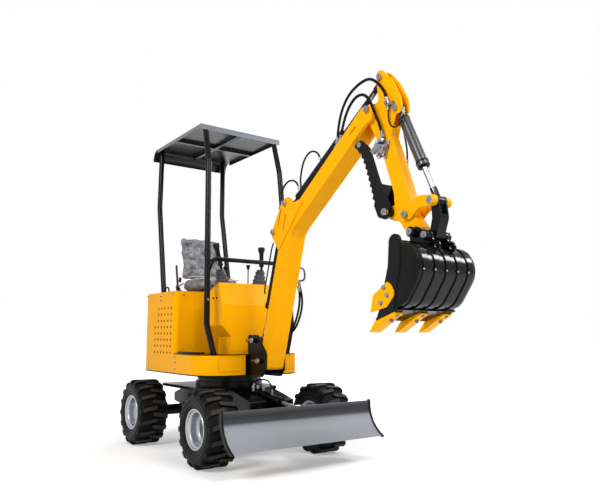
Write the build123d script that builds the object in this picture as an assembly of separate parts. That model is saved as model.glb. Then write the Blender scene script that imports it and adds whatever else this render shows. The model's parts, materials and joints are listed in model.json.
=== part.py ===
from build123d import *
import math
import os

# Wheeled mini excavator with a canopy, a dozer blade, a bucket and a thumb.
# Millimetres, X forward, Y left, Z up. Lengths along X below are measured from the
# slewing axis; export moves the whole machine so that its box stands centred on the origin.

SLEW_X = -650.0            # slewing axis, along X from the part's origin

# ---- wheels and axles -------------------------------------------------------------------
TYRE_R = 228.6             # outer radius, to the lugs' tips
TYRE_W = 208.0             # overall width
RIM_R = 120.0              # rim flange radius
RIM_W = 190.0              # rim width over its flanges
WHEELBASE = 1030.0
TRACK = 851.0              # between wheel centres
AXLE_Z = TYRE_R
HUB_R = 42.0
HUB_OUT = 62.0             # wheel disc's seat, inward of the wheel's centre plane
KINGPIN_Y = 272.0
KINGPIN_R = 14.0
STEER_ARM = 105.0          # knuckle arm's length behind the kingpin
TIE_ROD_R = 11.0
FIT = 0.5                  # running clearance at pins and bores, on radius
FACETS = 32                # flats round a tyre, one lug on each
LUG_T = 14.0
LUG_W = 30.0
LUG_REACH = 14.0           # how far a lug passes the tyre's middle

# ---- undercarriage ----------------------------------------------------------------------
FRAME_TOP = 430.0
FRAME_LOW = 290.0
FRAME_HALF_W = 165.0
FRAME_HALF_L = 560.0
RING_R = 225.0
WING_HALF_W = 300.0        # side plates over the rear axle
TOW_R = 12.0               # tow eye's bore
TOW_X = -FRAME_HALF_L - 32.0
TOW_Z = 300.0
TOW_T = 12.0
DIFF_R = 62.0              # differential housing
RING_TOP = 492.0

# ---- blade ------------------------------------------------------------------------------
BLADE_W = 1090.0
BLADE_TOP = (880.0, 366.0)       # x, z of the top edge
BLADE_LOW = (1000.0, 158.0)      # x, z of the cutting edge
BLADE_T = 10.0
BLADE_LIP = 36.0                 # upright strip along the top
BLADE_SAG = 28.0                 # hollow of the face below it
BLADE_PIVOT = (FRAME_HALF_L + 40.0, 285.0)
BLADE_ARM_Y = 118.0              # arm's centre plane
BLADE_CYL_BASE = (400.0, 412.0)
BLADE_CYL_EYE = (833.0, 340.0)

# ---- upper structure --------------------------------------------------------------------
BASE_Z = 517.0             # underside of the turntable
BASE_T = 15.0
DECK_Z = 655.0             # floor's top
SKIRT_T = 6.0
HOUSE_HALF_W = 398.0
HOUSE_FRONT = 390.0
HOUSE_REAR = -600.0
HOOD_FRONT = -80.0         # engine hood's front wall
HOOD_TOP = 1090.0
HOOD_T = 5.0
HOOD_CORNER_R = 40.0
LIP_T = 8.0                # edge of the turntable showing below the panels
FRONT_CORNER_R = 200.0
REAR_CORNER_R = 40.0
SLOT_HALF_W = 98.0         # opening for the boom bracket
CONSOLE_HALF_W = 230.0
CONSOLE_NECK = 158.0       # half width of its lower part
CONSOLE_FRONT = 300.0
CONSOLE_REAR = 123.0
CONSOLE_TOP = 1138.0
CONSOLE_T = 6.0

# ---- boom, arm and bucket, as (x, z) ----------------------------------------------------
FOOT_PIN = (535.0, 618.0)
BOOM_CYL_BASE = (462.0, 747.0)
BOOM_CYL_TOP = (672.0, 1436.0)
ARM_CYL_BASE = (803.0, 1600.0)
ARM_PIVOT = (1562.0, 1982.0)
ARM_CYL_EYE = (1637.0, 2145.0)
BUCKET_CYL_BASE = (1745.0, 1942.0)
ROCKER_PIVOT = (1812.0, 1370.0)
ROCKER_EYE = (1986.0, 1411.0)
BUCKET_PIN = (1874.0, 1273.0)
LINK_PIN = (1960.0, 1248.0)
THUMB_PIVOT = (1680.0, 1404.0)
THUMB_TIP = (1476.0, 1808.0)
THUMB_EYE = 14.0           # half width of the arm's eye for it
THUMB_IN = 36.0
THUMB_OUT = 48.0
PIN_R = 14.0
BOSS_R = 26.0
BOOM_HALF_W = 59.0
ARM_HALF_W = 30.0
FORK_IN = 36.0             # inside of the boom's tip fork
BRACKET_IN = 64.0          # inside of the boom bracket's plates
BRACKET_OUT = 79.0
BRACKET_REAR = 150.0
BRACKET_FACE = 385.0       # rear edge of the plates above the floor
ELBOW_OUT = 70.0
BUCKET_LIP = (1757.0, 865.0)
BUCKET_HALF_W = 192.0
BUCKET_T = 8.0

# ---- canopy -----------------------------------------------------------------------------
ROOF_TOP = 2263.0
ROOF_FRONT = 135.0
ROOF_REAR = -720.0
ROOF_HALF_W = 331.0
ROOF_T = 5.0
ROOF_REAR_DROP = 85.0
ROOF_REAR_R = 75.0
ROOF_FRONT_DROP = 42.0
POST_R = 20.0


def rounded_face(rows):
    """Face from rows of (u, v, corner radius), in the XY plane."""
    points = [Vector(u, v, 0) for u, v, _ in rows]
    starts, arcs = [], []
    for i, (_, _, radius) in enumerate(rows):
        corner = points[i]
        to_last = (points[i - 1] - corner).normalized()
        to_next = (points[(i + 1) % len(rows)] - corner).normalized()
        if radius <= 0:
            starts.append((corner, corner))
            arcs.append(None)
            continue
        half = math.radians(to_last.get_angle(to_next)) / 2
        reach = radius / math.tan(half)
        middle = (to_last + to_next).normalized()
        nearest = corner + middle * (radius / math.sin(half) - radius)
        first, second = corner + to_last * reach, corner + to_next * reach
        starts.append((first, second))
        arcs.append(ThreePointArc(first, nearest, second))
    edges = []
    for i, (_, leave) in enumerate(starts):
        if arcs[i] is not None:
            edges.append(arcs[i])
        arrive = starts[(i + 1) % len(rows)][0]
        if (arrive - leave).length > 1e-6:
            edges.append(Line(leave, arrive))
    return make_face(edges)


def side_slab(rows, y0, y1):
    """Plate between two Y planes, from rows of (x, z, corner radius)."""
    plane = Plane(origin=(0, y1, 0), x_dir=(1, 0, 0), z_dir=(0, -1, 0))
    return extrude(plane * rounded_face(rows), amount=y1 - y0)


def twin_slabs(rows, inner, outer):
    """The same plate on both sides of the machine's centre plane."""
    return side_slab(rows, inner, outer) + side_slab(rows, -outer, -inner)


def plan_slab(rows, z0, z1):
    """Plate between two heights, from rows of (x, y, corner radius)."""
    return extrude(Pos(0, 0, z0) * rounded_face(rows), amount=z1 - z0)


def front_slab(rows, x0, x1):
    """Plate between two X planes, from rows of (y, z, corner radius)."""
    plane = Plane(origin=(x0, 0, 0), x_dir=(0, 1, 0), z_dir=(1, 0, 0))
    return extrude(plane * rounded_face(rows), amount=x1 - x0)


def box(x0, x1, y0, y1, z0, z1):
    size = Box(x1 - x0, y1 - y0, z1 - z0)
    return Pos((x0 + x1) / 2, (y0 + y1) / 2, (z0 + z1) / 2) * size


def cross_pin(place, radius, y0, y1):
    """Cylinder along Y at (x, z)."""
    x, z = place
    return Pos(x, (y0 + y1) / 2, z) * Rot(90, 0, 0) * Cylinder(radius, y1 - y0)


def rod_between(start, end, radius):
    start, end = Vector(*start), Vector(*end)
    plane = Plane(origin=start, z_dir=end - start)
    return plane * Cylinder(radius, (end - start).length, align=(Align.CENTER, Align.CENTER, Align.MIN))


def bent_tube(points, bend, radius):
    """Round bar along straight runs joined by arcs of one bend radius."""
    path = FilletPolyline(*points, radius=bend) if len(points) > 2 else Line(*points)
    section = Plane(origin=path @ 0, z_dir=path % 0) * Circle(radius)
    return sweep(section, path=path)


def along(start, end, distance):
    """Point in the (x, z) plane, a distance from start toward end."""
    length = math.dist(start, end)
    return (start[0] + (end[0] - start[0]) * distance / length,
            start[1] + (end[1] - start[1]) * distance / length)


def at_y(place, y=0.0):
    return (place[0], y, place[1])


def export(name, shape, colour):
    shape = Pos(SLEW_X, 0, 0) * shape
    shape.label = name
    shape.color = Color(*colour)
    export_step(shape, f"parts/{name}.step")


YELLOW = (1.0, 0.69, 0.0)
BLACK = (0.06, 0.06, 0.06)
GREY = (0.45, 0.46, 0.48)
STEEL = (0.75, 0.76, 0.78)
RUBBER = (0.11, 0.10, 0.10)


# ---- wheels -----------------------------------------------------------------------------
def lug():
    """Tread bar at the top of the tyre, from its left shoulder to past the middle."""
    half = TYRE_W / 2
    root = TYRE_R - LUG_T - 10
    rows = [  # y, z, corner radius
        (-LUG_REACH, root, 0),
        (-LUG_REACH + 4, TYRE_R, 0),
        (half - 20, TYRE_R, 0),
        (half - 2, root - 8, 0),
        (half - 10, root - 10, 0),
        (half - 18, root, 0),
    ]
    return front_slab(rows, -LUG_W / 2, LUG_W / 2)


def tyre():
    """Tubeless tyre about the Y axis, centred on its wheel centre, lugs left and right in turn."""
    half = TYRE_W / 2
    bead = RIM_W / 2 - 22
    rows = [  # distance from the axis, y
        (RIM_R - 9, bead - 12),
        (RIM_R - 9, bead),
        (RIM_R + 58, half),
        (TYRE_R - LUG_T - 3, half - 12),
        (TYRE_R - LUG_T - 23, half - 20),
    ]
    rows += [(r, -y) for r, y in reversed(rows[:4])] + [(rows[4][0], -rows[4][1])]
    ring = [rows[i] for i in (0, 1, 2, 3, 5, 6, 7, 8, 9, 4)]
    step = 2 * math.pi / FACETS
    grow = 1 / math.cos(step / 2)

    def corner(i, place):
        r, y = place
        turn = (i + 0.5) * step
        return (r * grow * math.sin(turn), y, r * grow * math.cos(turn))

    faces = []
    for i in range(FACETS):
        for a, b in zip(ring, ring[1:] + ring[:1]):
            loop = [corner(i, a), corner(i, b), corner(i + 1, b), corner(i + 1, a)]
            faces.append(Face(Wire.make_polygon(loop, close=True)))
    carcass = Solid(Shell(faces))
    left = lug()
    right = mirror(left, about=Plane.XZ)
    lugs = [Rot(0, math.degrees(i * step), 0) * (right if i % 2 else left) for i in range(FACETS)]
    return carcass + lugs


def rim(side):
    """Pressed steel rim about the Y axis; side is +1 where +Y is the outer face."""
    half = RIM_W / 2
    seat = -HUB_OUT
    rows = [  # radius, y toward the outer face, corner radius
        (RIM_R, half, 0),
        (RIM_R - 9, half, 0),
        (RIM_R - 18, half - 14, 4),
        (RIM_R - 26, half - 20, 4),
        (RIM_R - 30, half - 60, 8),
        (RIM_R - 48, half - 72, 8),
        (RIM_R - 52, seat + 30, 8),
        (RIM_R - 70, seat + 6, 10),
        (HUB_R - 12, seat + 6, 0),
        (HUB_R - 12, seat, 0),
        (RIM_R - 66, seat, 10),
        (RIM_R - 42, seat + 26, 8),
        (RIM_R - 30, seat + 20, 6),
        (RIM_R - 24, -half + 20, 6),
        (RIM_R - 9, -half, 0),
        (RIM_R, -half, 0),
        (RIM_R, -half + 4, 0),
        (RIM_R - 9, -half + 22, 0),
        (RIM_R - 9, half - 22, 0),
        (RIM_R, half - 4, 0),
    ]
    rows = [(radius, side * y, corner) for radius, y, corner in rows]
    return revolve(rounded_face(rows), axis=Axis.Y)


def hub(side, y_in):
    """Spindle cap and flange, from y_in out to the wheel disc's seat."""
    seat = TRACK / 2 - HUB_OUT
    flange = cross_pin((0, AXLE_Z), HUB_R + 14, seat - 10, seat)
    cap = cross_pin((0, AXLE_Z), HUB_R - 14, seat - 10, seat + 34)
    body = cross_pin((0, AXLE_Z), HUB_R, y_in, seat - 10)
    shape = flange + cap + body
    return shape if side > 0 else mirror(shape, about=Plane.XZ)


# ---- undercarriage ----------------------------------------------------------------------
def chassis_frame():
    half_l = FRAME_HALF_L
    rows = [  # x, z, corner radius: side view of the welded backbone
        (-half_l, FRAME_LOW, 10),
        (-180, FRAME_LOW - 60, 40),
        (180, FRAME_LOW - 60, 40),
        (330, FRAME_LOW + 10, 20),
        (half_l, FRAME_LOW + 10, 10),
        (half_l, FRAME_LOW + 80, 10),
        (300, FRAME_TOP, 20),
        (-300, FRAME_TOP, 20),
        (-half_l, FRAME_LOW + 60, 10),
    ]
    shape = side_slab(rows, -FRAME_HALF_W, FRAME_HALF_W)
    pedestal = Pos(0, 0, FRAME_TOP - 5) * Cylinder(RING_R + 12, RING_TOP - 24 - FRAME_TOP + 5,
                                                   align=(Align.CENTER, Align.CENTER, Align.MIN))
    wide, narrow, fore = WING_HALF_W, FRAME_HALF_W + 80, RING_R + 25
    wing_rows = [  # x, y, corner radius
        (-half_l + 60, -wide, 30), (60, -wide, 40), (fore, -narrow, 30),
        (fore, narrow, 30), (60, wide, 40), (-half_l + 60, wide, 30),
    ]
    wings = plan_slab(wing_rows, FRAME_TOP - 20, FRAME_TOP)
    rear_saddle = box(-WHEELBASE / 2 - 45, -WHEELBASE / 2 + 45, -110, 110, AXLE_Z + 38, FRAME_LOW + 20)
    front_saddle = box(WHEELBASE / 2 - 45, WHEELBASE / 2 + 35, -60, 60, AXLE_Z + 38, FRAME_LOW + 30)
    px, pz = BLADE_PIVOT
    ears = twin_slabs([(half_l - 10, pz - 26, 0), (px + 26, pz - 26, 25), (px + 26, pz + 26, 25),
                       (half_l - 10, pz + 50, 0)], BLADE_ARM_Y - 24, BLADE_ARM_Y - 12)
    pins = cross_pin(BLADE_PIVOT, PIN_R, BLADE_ARM_Y - 24, BLADE_ARM_Y + 16)
    pins += cross_pin(BLADE_PIVOT, PIN_R, -BLADE_ARM_Y - 16, -BLADE_ARM_Y + 24)
    slot_rows = [  # x, z, corner radius: room for the blade cylinder as it tilts
        (300, 350, 0), (380, 350, 0), (half_l + 10, 270, 0), (half_l + 10, FRAME_TOP + 10, 0),
        (300, FRAME_TOP + 10, 0),
    ]
    slot = side_slab(slot_rows, -38, 38)
    shape = shape + pedestal + wings + rear_saddle + front_saddle + ears - slot
    shape -= Pos(-WHEELBASE / 2, 0, AXLE_Z) * Sphere(DIFF_R)
    bx, bz = BLADE_CYL_BASE
    clevis = twin_slabs([(bx - 60, bz - 70, 0), (bx + 24, bz - 70, 10), (bx + 24, bz + 24, 23),
                         (bx - 40, bz + 24, 24)], 20, 38)
    clevis += box(bx - 100, bx - 56, -38, 38, bz - 70, FRAME_TOP)
    tow_rows = [  # x, y, corner radius
        (-half_l + 10, -45, 0), (-half_l - 60, -30, 28), (-half_l - 60, 30, 28), (-half_l + 10, 45, 0),
    ]
    tow = plan_slab(tow_rows, TOW_Z, TOW_Z + TOW_T)
    tow -= Pos(TOW_X, 0, TOW_Z) * Cylinder(TOW_R, 3 * TOW_T)
    return shape + clevis + cross_pin(BLADE_CYL_BASE, PIN_R, -38, 38) + pins + tow


def slewing_ring():
    ring = Pos(0, 0, RING_TOP - 12) * Cylinder(RING_R, 24)
    return ring - Pos(0, 0, RING_TOP - 12) * Cylinder(RING_R - 60, 40)


def front_axle():
    x = WHEELBASE / 2
    beam = box(x - 32, x + 32, -KINGPIN_Y + 34, KINGPIN_Y - 34, AXLE_Z - 32, AXLE_Z + 32)
    beam += box(x - 40, x + 35, -60, 60, AXLE_Z + 30, AXLE_Z + 38)
    shape = beam
    for side in (-1, 1):
        y = side * KINGPIN_Y
        y0, y1 = sorted((side * (KINGPIN_Y - 40), side * (KINGPIN_Y + 24)))
        for z in (AXLE_Z - 62, AXLE_Z + 46):
            shape += box(x - 26, x + 26, y0, y1, z, z + 16)
        yi, yo = sorted((side * (KINGPIN_Y - 40), side * (KINGPIN_Y - 30)))
        shape += box(x - 20, x + 20, yi, yo, AXLE_Z - 62, AXLE_Z + 62)
        shape += Pos(x, y, AXLE_Z) * Cylinder(KINGPIN_R, 124)
    return shape


def knuckle(side):
    """Steering knuckle: kingpin barrel, spindle hub and rearward arm."""
    x = WHEELBASE / 2
    barrel = Pos(0, KINGPIN_Y, AXLE_Z) * Cylinder(25, 88)
    bore = Pos(0, KINGPIN_Y, AXLE_Z) * Cylinder(KINGPIN_R + FIT, 100)
    arm = box(-STEER_ARM, 0, KINGPIN_Y - 11, KINGPIN_Y + 11, AXLE_Z - 40, AXLE_Z - 26)
    arm += Pos(-STEER_ARM, KINGPIN_Y, AXLE_Z - 33) * Cylinder(18, 14)
    ball = Pos(-STEER_ARM, KINGPIN_Y, AXLE_Z - 20) * Cylinder(8, 24)
    shape = barrel + arm
    if side < 0:
        shape = mirror(shape, about=Plane.XZ)
        ball = mirror(ball, about=Plane.XZ)
        bore = mirror(bore, about=Plane.XZ)
    shape = shape + hub(side, KINGPIN_Y + 8) - bore + ball
    return Pos(x, 0, 0) * shape


def tie_rod():
    x, z = WHEELBASE / 2 - STEER_ARM, AXLE_Z - 15
    shape = cross_pin((x, z), TIE_ROD_R, -KINGPIN_Y + 10, KINGPIN_Y - 10)
    for y in (-KINGPIN_Y, KINGPIN_Y):
        shape += Pos(x, y, z) * Cylinder(17, 18)
        shape -= Pos(x, y, z) * Cylinder(8 + FIT, 40)
    return shape


def rear_axle():
    x = -WHEELBASE / 2
    beam = cross_pin((0, AXLE_Z), 38, -TRACK / 2 + HUB_OUT + 50, TRACK / 2 - HUB_OUT - 50)
    case = Sphere(DIFF_R)
    shape = beam + Pos(0, 0, AXLE_Z) * case + hub(1, 250) + hub(-1, 250)
    shape += box(-45, 45, -110, 110, AXLE_Z + 20, AXLE_Z + 38)
    return Pos(x, 0, 0) * shape


# ---- dozer blade ------------------------------------------------------------------------
def blade():
    (tx, tz), (bx, bz) = BLADE_TOP, BLADE_LOW
    crease = tz - BLADE_LIP
    span = math.dist((tx, crease), (bx, bz))
    across = ((crease - bz) / span, (bx - tx) / span)
    middle = ((tx + bx) / 2 - across[0] * BLADE_SAG, (crease + bz) / 2 - across[1] * BLADE_SAG)
    heel = (bx - BLADE_T - 2, bz)
    front = [Line((tx, tz), (tx, crease)), ThreePointArc((tx, crease), middle, (bx, bz))]
    back = [ThreePointArc(heel, (middle[0] - BLADE_T, middle[1] - 4), (tx - BLADE_T, crease)),
            Line((tx - BLADE_T, crease), (tx - BLADE_T, tz)), Line((tx - BLADE_T, tz), (tx, tz))]
    face = make_face(front + [Line((bx, bz), heel)] + back)
    ahead = make_face(front + [Line((bx, bz), (bx + 200, bz)), Line((bx + 200, bz), (bx + 200, tz)),
                               Line((bx + 200, tz), (tx, tz))])
    plane = Plane(origin=(0, BLADE_W / 2, 0), x_dir=(1, 0, 0), z_dir=(0, -1, 0))
    shape = extrude(plane * face, amount=BLADE_W)
    cut = extrude(plane * ahead, amount=BLADE_W)
    bar = extrude(plane * offset(face, amount=7), amount=12)
    shape += bar + mirror(bar, about=Plane.XZ)
    px, pz = BLADE_PIVOT
    arm_rows = [  # x, z, corner radius
        (px - 26, pz - 26, 25), (tx - 30, 190, 20), (bx, 190, 0), (tx + 10, 300, 0), (px - 26, pz + 26, 25),
    ]
    arms = twin_slabs(arm_rows, BLADE_ARM_Y - 6, BLADE_ARM_Y + 10)
    bore = cross_pin(BLADE_PIVOT, PIN_R + FIT, -BLADE_ARM_Y - 20, BLADE_ARM_Y + 20)
    beam = box(tx - 60, tx - 26, -BLADE_ARM_Y, BLADE_ARM_Y, 196, 232)
    ex, ez = BLADE_CYL_EYE
    ear_rows = [  # x, z, corner radius
        (ex - BOSS_R, 215, 0), (bx, 215, 0), (tx + 10, ez, 0), (ex + 20, ez + BOSS_R, 12),
        (ex - BOSS_R, ez + BOSS_R, 25),
    ]
    ears = twin_slabs(ear_rows, 26, 38)
    stubs = cross_pin(BLADE_CYL_EYE, PIN_R, 21, 46) + cross_pin(BLADE_CYL_EYE, PIN_R, -46, -21)
    return shape + (arms - bore + beam + ears + stubs - cut)


# ---- hydraulic cylinders ----------------------------------------------------------------
def barrel_and_rod(base, eye, tube_r, rod_r, tube_end, width):
    """Barrel pinned at base and rod ending at eye; tube_end is measured from base."""
    length = math.dist(base, eye)
    start = along(base, eye, BOSS_R + 36)
    end = along(base, eye, tube_end)
    barrel = cross_pin(base, BOSS_R, -width / 2, width / 2)
    barrel += rod_between(at_y(along(base, eye, PIN_R + 2)), at_y(start), width / 2 - 1)
    barrel += rod_between(at_y(start), at_y(end), tube_r)
    gland = along(base, eye, tube_end - 26)
    barrel += rod_between(at_y(gland), at_y(end), tube_r + 4)
    bottom = along(base, eye, BOSS_R + 50)
    past = along(base, eye, tube_end + 10)
    barrel -= rod_between(at_y(bottom), at_y(past), rod_r + FIT)
    barrel -= cross_pin(base, PIN_R + FIT, -width, width)
    inner = along(base, eye, tube_end - 60)
    rod = rod_between(at_y(inner), at_y(along(base, eye, length - BOSS_R + 6)), rod_r)
    rod += rod_between(at_y(along(base, eye, length - 78)), at_y(along(base, eye, length - 10)), rod_r + 4)
    rod += cross_pin(eye, BOSS_R, -width / 2, width / 2)
    return barrel, rod


# ---- upper structure --------------------------------------------------------------------
def house_outline(inset, x_rear=HOUSE_REAR):
    half = HOUSE_HALF_W - inset
    front = HOUSE_FRONT - inset
    rear = x_rear + inset
    return [
        (front, -half, FRONT_CORNER_R - inset),
        (front, half, FRONT_CORNER_R - inset),
        (rear, half, REAR_CORNER_R - inset),
        (rear, -half, REAR_CORNER_R - inset),
    ]


def turntable():
    plate = plan_slab(house_outline(0), BASE_Z, BASE_Z + LIP_T)
    plate += plan_slab(house_outline(SKIRT_T), BASE_Z, BASE_Z + BASE_T)
    ring = Pos(0, 0, RING_TOP + FIT) * Cylinder(RING_R - 6, BASE_Z - RING_TOP - FIT,
                                               align=(Align.CENTER, Align.CENTER, Align.MIN))
    ribs = twin_slabs([(-500, BASE_Z + BASE_T, 0), (200, BASE_Z + BASE_T, 0), (200, DECK_Z - 12, 0),
                       (-500, DECK_Z - 12, 0)], 90, 102)
    notch = box(HOUSE_FRONT - 150, HOUSE_FRONT + 1, -SLOT_HALF_W, SLOT_HALF_W, BASE_Z - 1, DECK_Z)
    return plate + ring + ribs - notch


def skirt():
    outer = plan_slab(house_outline(0), BASE_Z + LIP_T, DECK_Z - 4)
    inner = plan_slab(house_outline(SKIRT_T), BASE_Z - 1, DECK_Z)
    wall = outer - inner - box(HOUSE_REAR - 10, HOOD_FRONT, -500, 500, BASE_Z - 1, DECK_Z)
    return wall - box(0, HOUSE_FRONT + 10, -SLOT_HALF_W, SLOT_HALF_W, BASE_Z - 1, DECK_Z)


def floor_plate():
    plate = plan_slab(house_outline(0), DECK_Z - 4, DECK_Z)
    plate -= box(HOUSE_REAR - 10, HOOD_FRONT, -500, 500, 0, DECK_Z + 1)
    return plate - box(BRACKET_FACE - 8, HOUSE_FRONT + 10, -SLOT_HALF_W, SLOT_HALF_W, 0, DECK_Z + 1)


def hood_outline(inset):
    half = HOUSE_HALF_W - inset
    return [
        (HOOD_FRONT - inset, -half, HOOD_CORNER_R - inset),
        (HOOD_FRONT - inset, half, HOOD_CORNER_R - inset),
        (HOUSE_REAR + inset, half, REAR_CORNER_R - inset),
        (HOUSE_REAR + inset, -half, REAR_CORNER_R - inset),
    ]


def hood_walls():
    """Panels round the engine: square to the skirt below the floor, round at the front above it."""
    low = plan_slab(house_outline(0), BASE_Z + LIP_T, DECK_Z)
    low -= plan_slab(house_outline(SKIRT_T), BASE_Z - 1, DECK_Z + 1)
    low -= box(HOOD_FRONT, HOUSE_FRONT + 10, -500, 500, 0, DECK_Z + 1)
    high = plan_slab(hood_outline(0), DECK_Z, HOOD_TOP - HOOD_T)
    return low + (high - plan_slab(hood_outline(HOOD_T), DECK_Z - 1, HOOD_TOP))


VENT_TOP = 972.0
VENT_PITCH = 44.5
VENT_COLUMN = 55.0
VENT_X = -138.0            # the foremost hole of every row
LONG_ROW = 6               # holes in a lower row
SHORT_ROW = 5              # holes in each of the upper rows
SHORT_ROWS = 3
VENT_ROWS = 8


def hood_side(side):
    y0, y1 = (-500, -250) if side < 0 else (250, 500)
    panel = hood_walls() & box(HOUSE_REAR - 10, HOOD_FRONT + 1, y0, y1, 0, HOOD_TOP)
    hole = cross_pin((VENT_X, VENT_TOP), 9, y0, y1)
    holes = []
    for row in range(VENT_ROWS):
        for column in range(SHORT_ROW if row < SHORT_ROWS else LONG_ROW):
            holes.append(Pos(-column * VENT_COLUMN, 0, -row * VENT_PITCH) * hole)
    return panel - holes


def hood_rear():
    return hood_walls() & box(HOUSE_REAR - 10, HOUSE_REAR + 100, -250, 250, 0, HOOD_TOP)


def hood_front():
    return hood_walls() & box(HOOD_FRONT - 100, HOOD_FRONT + 1, -250, 250, 0, HOOD_TOP)


def hood_top():
    return plan_slab(hood_outline(0), HOOD_TOP - HOOD_T, HOOD_TOP)


def engine_block():
    return box(-500, -190, -80, 80, BASE_Z + BASE_T, 940)


def console_block():
    front, rear, half, neck = CONSOLE_FRONT, CONSOLE_REAR, CONSOLE_HALF_W, CONSOLE_NECK
    rows = [  # x, z, corner radius: side view
        (rear, DECK_Z, 0), (front, DECK_Z, 0), (front, 985, 12), (front - 45, CONSOLE_TOP, 10),
        (rear, 1087, 6),
    ]
    front_rows = [  # y, z, corner radius: front view
        (-neck, 0, 0), (-neck, 770, 6), (-half, 847, 6), (-half, CONSOLE_TOP + 10, 0),
        (half, CONSOLE_TOP + 10, 0), (half, 847, 6), (neck, 770, 6), (neck, 0, 0),
    ]
    return side_slab(rows, -half, half) & front_slab(front_rows, 0, 400)


def console():
    front, half, wall = CONSOLE_FRONT, CONSOLE_HALF_W, CONSOLE_T
    low = box(0, front - wall, -CONSOLE_NECK + wall, CONSOLE_NECK - wall, DECK_Z - 1, 900)
    rows = [  # x, z, corner radius: room behind the instruments
        (0, 855, 0), (front - wall, 855, 0), (front - wall, 984, 0), (front - 48, CONSOLE_TOP - wall - 2, 0),
        (0, 1033, 0),
    ]
    return console_block() - low - side_slab(rows, -half + wall, half - wall)


def boom_bracket():
    nose = FOOT_PIN[0] + 57
    rows = [  # x, z, corner radius
        (BRACKET_REAR, BASE_Z + BASE_T, 0),
        (HOUSE_FRONT - 145, BASE_Z + BASE_T, 0),
        (HOUSE_FRONT - 145, BASE_Z, 0),
        (nose - 40, BASE_Z, 30),
        (nose, 565, 40),
        (nose, 670, 60),
        (BOOM_CYL_BASE[0] + 50, 757, 30),
        (BOOM_CYL_BASE[0] + 36, 784, 20),
        (BRACKET_FACE, 784, 8),
        (BRACKET_FACE, DECK_Z - 8, 0),
        (BRACKET_REAR, DECK_Z - 8, 0),
    ]
    plates = twin_slabs(rows, BRACKET_IN, BRACKET_OUT)
    pins = cross_pin(FOOT_PIN, PIN_R, -BRACKET_OUT - 24, BRACKET_OUT + 24)
    heads = cross_pin(BOOM_CYL_BASE, PIN_R, BRACKET_IN, BRACKET_OUT + 24)
    heads += cross_pin(BOOM_CYL_BASE, PIN_R, -BRACKET_OUT - 24, -BRACKET_IN)
    tie = box(160, 220, -BRACKET_IN, BRACKET_IN, BASE_Z + BASE_T, DECK_Z - 8)
    return plates + pins + heads + tie


# ---- seat -------------------------------------------------------------------------------
SEAT_HALF_W = 170.0
SEAT_REAR = -508.0         # rear of the cushion


def seat_base():
    x, z = SEAT_REAR, HOOD_TOP
    pan = box(x - 22, x + 310, -SEAT_HALF_W + 40, SEAT_HALF_W - 40, z, z + 30)
    stay = [  # x, z, corner radius
        (x - 0.3, z, 0), (x - 0.8, z + 145, 0), (x - 42.6, 1415, 0), (x - 62, 1415, 0), (x - 22, z + 145, 0),
        (x - 22, z, 0),
    ]
    return pan + side_slab(stay, -60, 60)


def seat_cushion():
    slab = box(SEAT_REAR, SEAT_REAR + 370, -SEAT_HALF_W, SEAT_HALF_W, HOOD_TOP + 30.3, HOOD_TOP + 120)
    return fillet(slab.edges(), 28)


def seat_back():
    x, z = SEAT_REAR, HOOD_TOP + 121
    rows = [(x + 5, z, 25), (x + 100, z, 25), (x + 20, 1545, 35), (x - 70, 1545, 35)]
    return side_slab(rows, -SEAT_HALF_W + 5, SEAT_HALF_W - 5)


def cone_between(start, end, start_r, end_r):
    start, end = Vector(*start), Vector(*end)
    level = (Align.CENTER, Align.CENTER, Align.MIN)
    return Plane(origin=start, z_dir=end - start) * Cone(start_r, end_r, (end - start).length, align=level)


LEVER_X = 190.0
LEVERS = [  # foot y, gaiter's top y, z, grip's foot y, grip's top y, foot, top and grip radii
    (-157, -197, 1228, -186, -230, 62, 20, 23),
    (117, 134, 1242, 143, 141, 52, 22, 25),
]


def control_levers():
    x, foot_z = LEVER_X, 1095
    shape = None
    for foot, neck, neck_z, low, high, foot_r, neck_r, grip_r in LEVERS:
        lever = cone_between((x, foot, foot_z), (x, neck, neck_z), foot_r, neck_r)
        lever += rod_between((x, neck, neck_z - 10), (x, low, neck_z + 40), 14)
        lever += cone_between((x, low, neck_z + 30), (x, high, 1408), 15, grip_r)
        shape = lever if shape is None else shape + lever
    shape += rod_between((x, 34, foot_z), (x, 30, 1250), 4)
    shape += cone_between((x, 31, 1232), (x, 30, 1275), 8, 15)
    knob = (x - 40, -124, 1240)
    shape += rod_between((x - 40, -112, foot_z - 15), knob, 5) + Pos(*knob) * Sphere(20)
    return shape - console_block()


# ---- canopy -----------------------------------------------------------------------------
FRONT_POST = [  # x, y, z of the left front post, from its foot up
    (304, 283, DECK_Z), (290, 337, 850), (188, 296, 1985), (106, 287, ROOF_TOP - ROOF_T),
]
REAR_POST = [  # the left rear post, from the hood up
    (-520, 289, HOOD_TOP), (-672, 282, 1790), (-668, 278, ROOF_TOP - ROOF_T),
]


def posts(points):
    """Left and right post, cut level at the foot and under the roof."""
    foot, top = points[0], points[-1]
    longer = [(foot[0], foot[1], foot[2] - 20)] + points[1:-1] + [(top[0], top[1], top[2] + 20)]
    tube = bent_tube(longer, 60, POST_R)
    tube &= box(-1000, 1000, 0, 1000, foot[2], top[2])
    under = [  # x, z, corner radius: the room below the roof sheet
        (ROOF_REAR + ROOF_T, 0, 0),
        (HOUSE_FRONT, 0, 0),
        (HOUSE_FRONT, ROOF_TOP - ROOF_FRONT_DROP, 0),
        (ROOF_FRONT - ROOF_T, ROOF_TOP - ROOF_FRONT_DROP, 0),
        (ROOF_FRONT - ROOF_T, ROOF_TOP - ROOF_T, 7),
        (ROOF_REAR + ROOF_T, ROOF_TOP - ROOF_T, ROOF_REAR_R - ROOF_T),
    ]
    tube &= side_slab(under, 0, HOUSE_HALF_W)
    return tube + mirror(tube, about=Plane.XZ)


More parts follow.
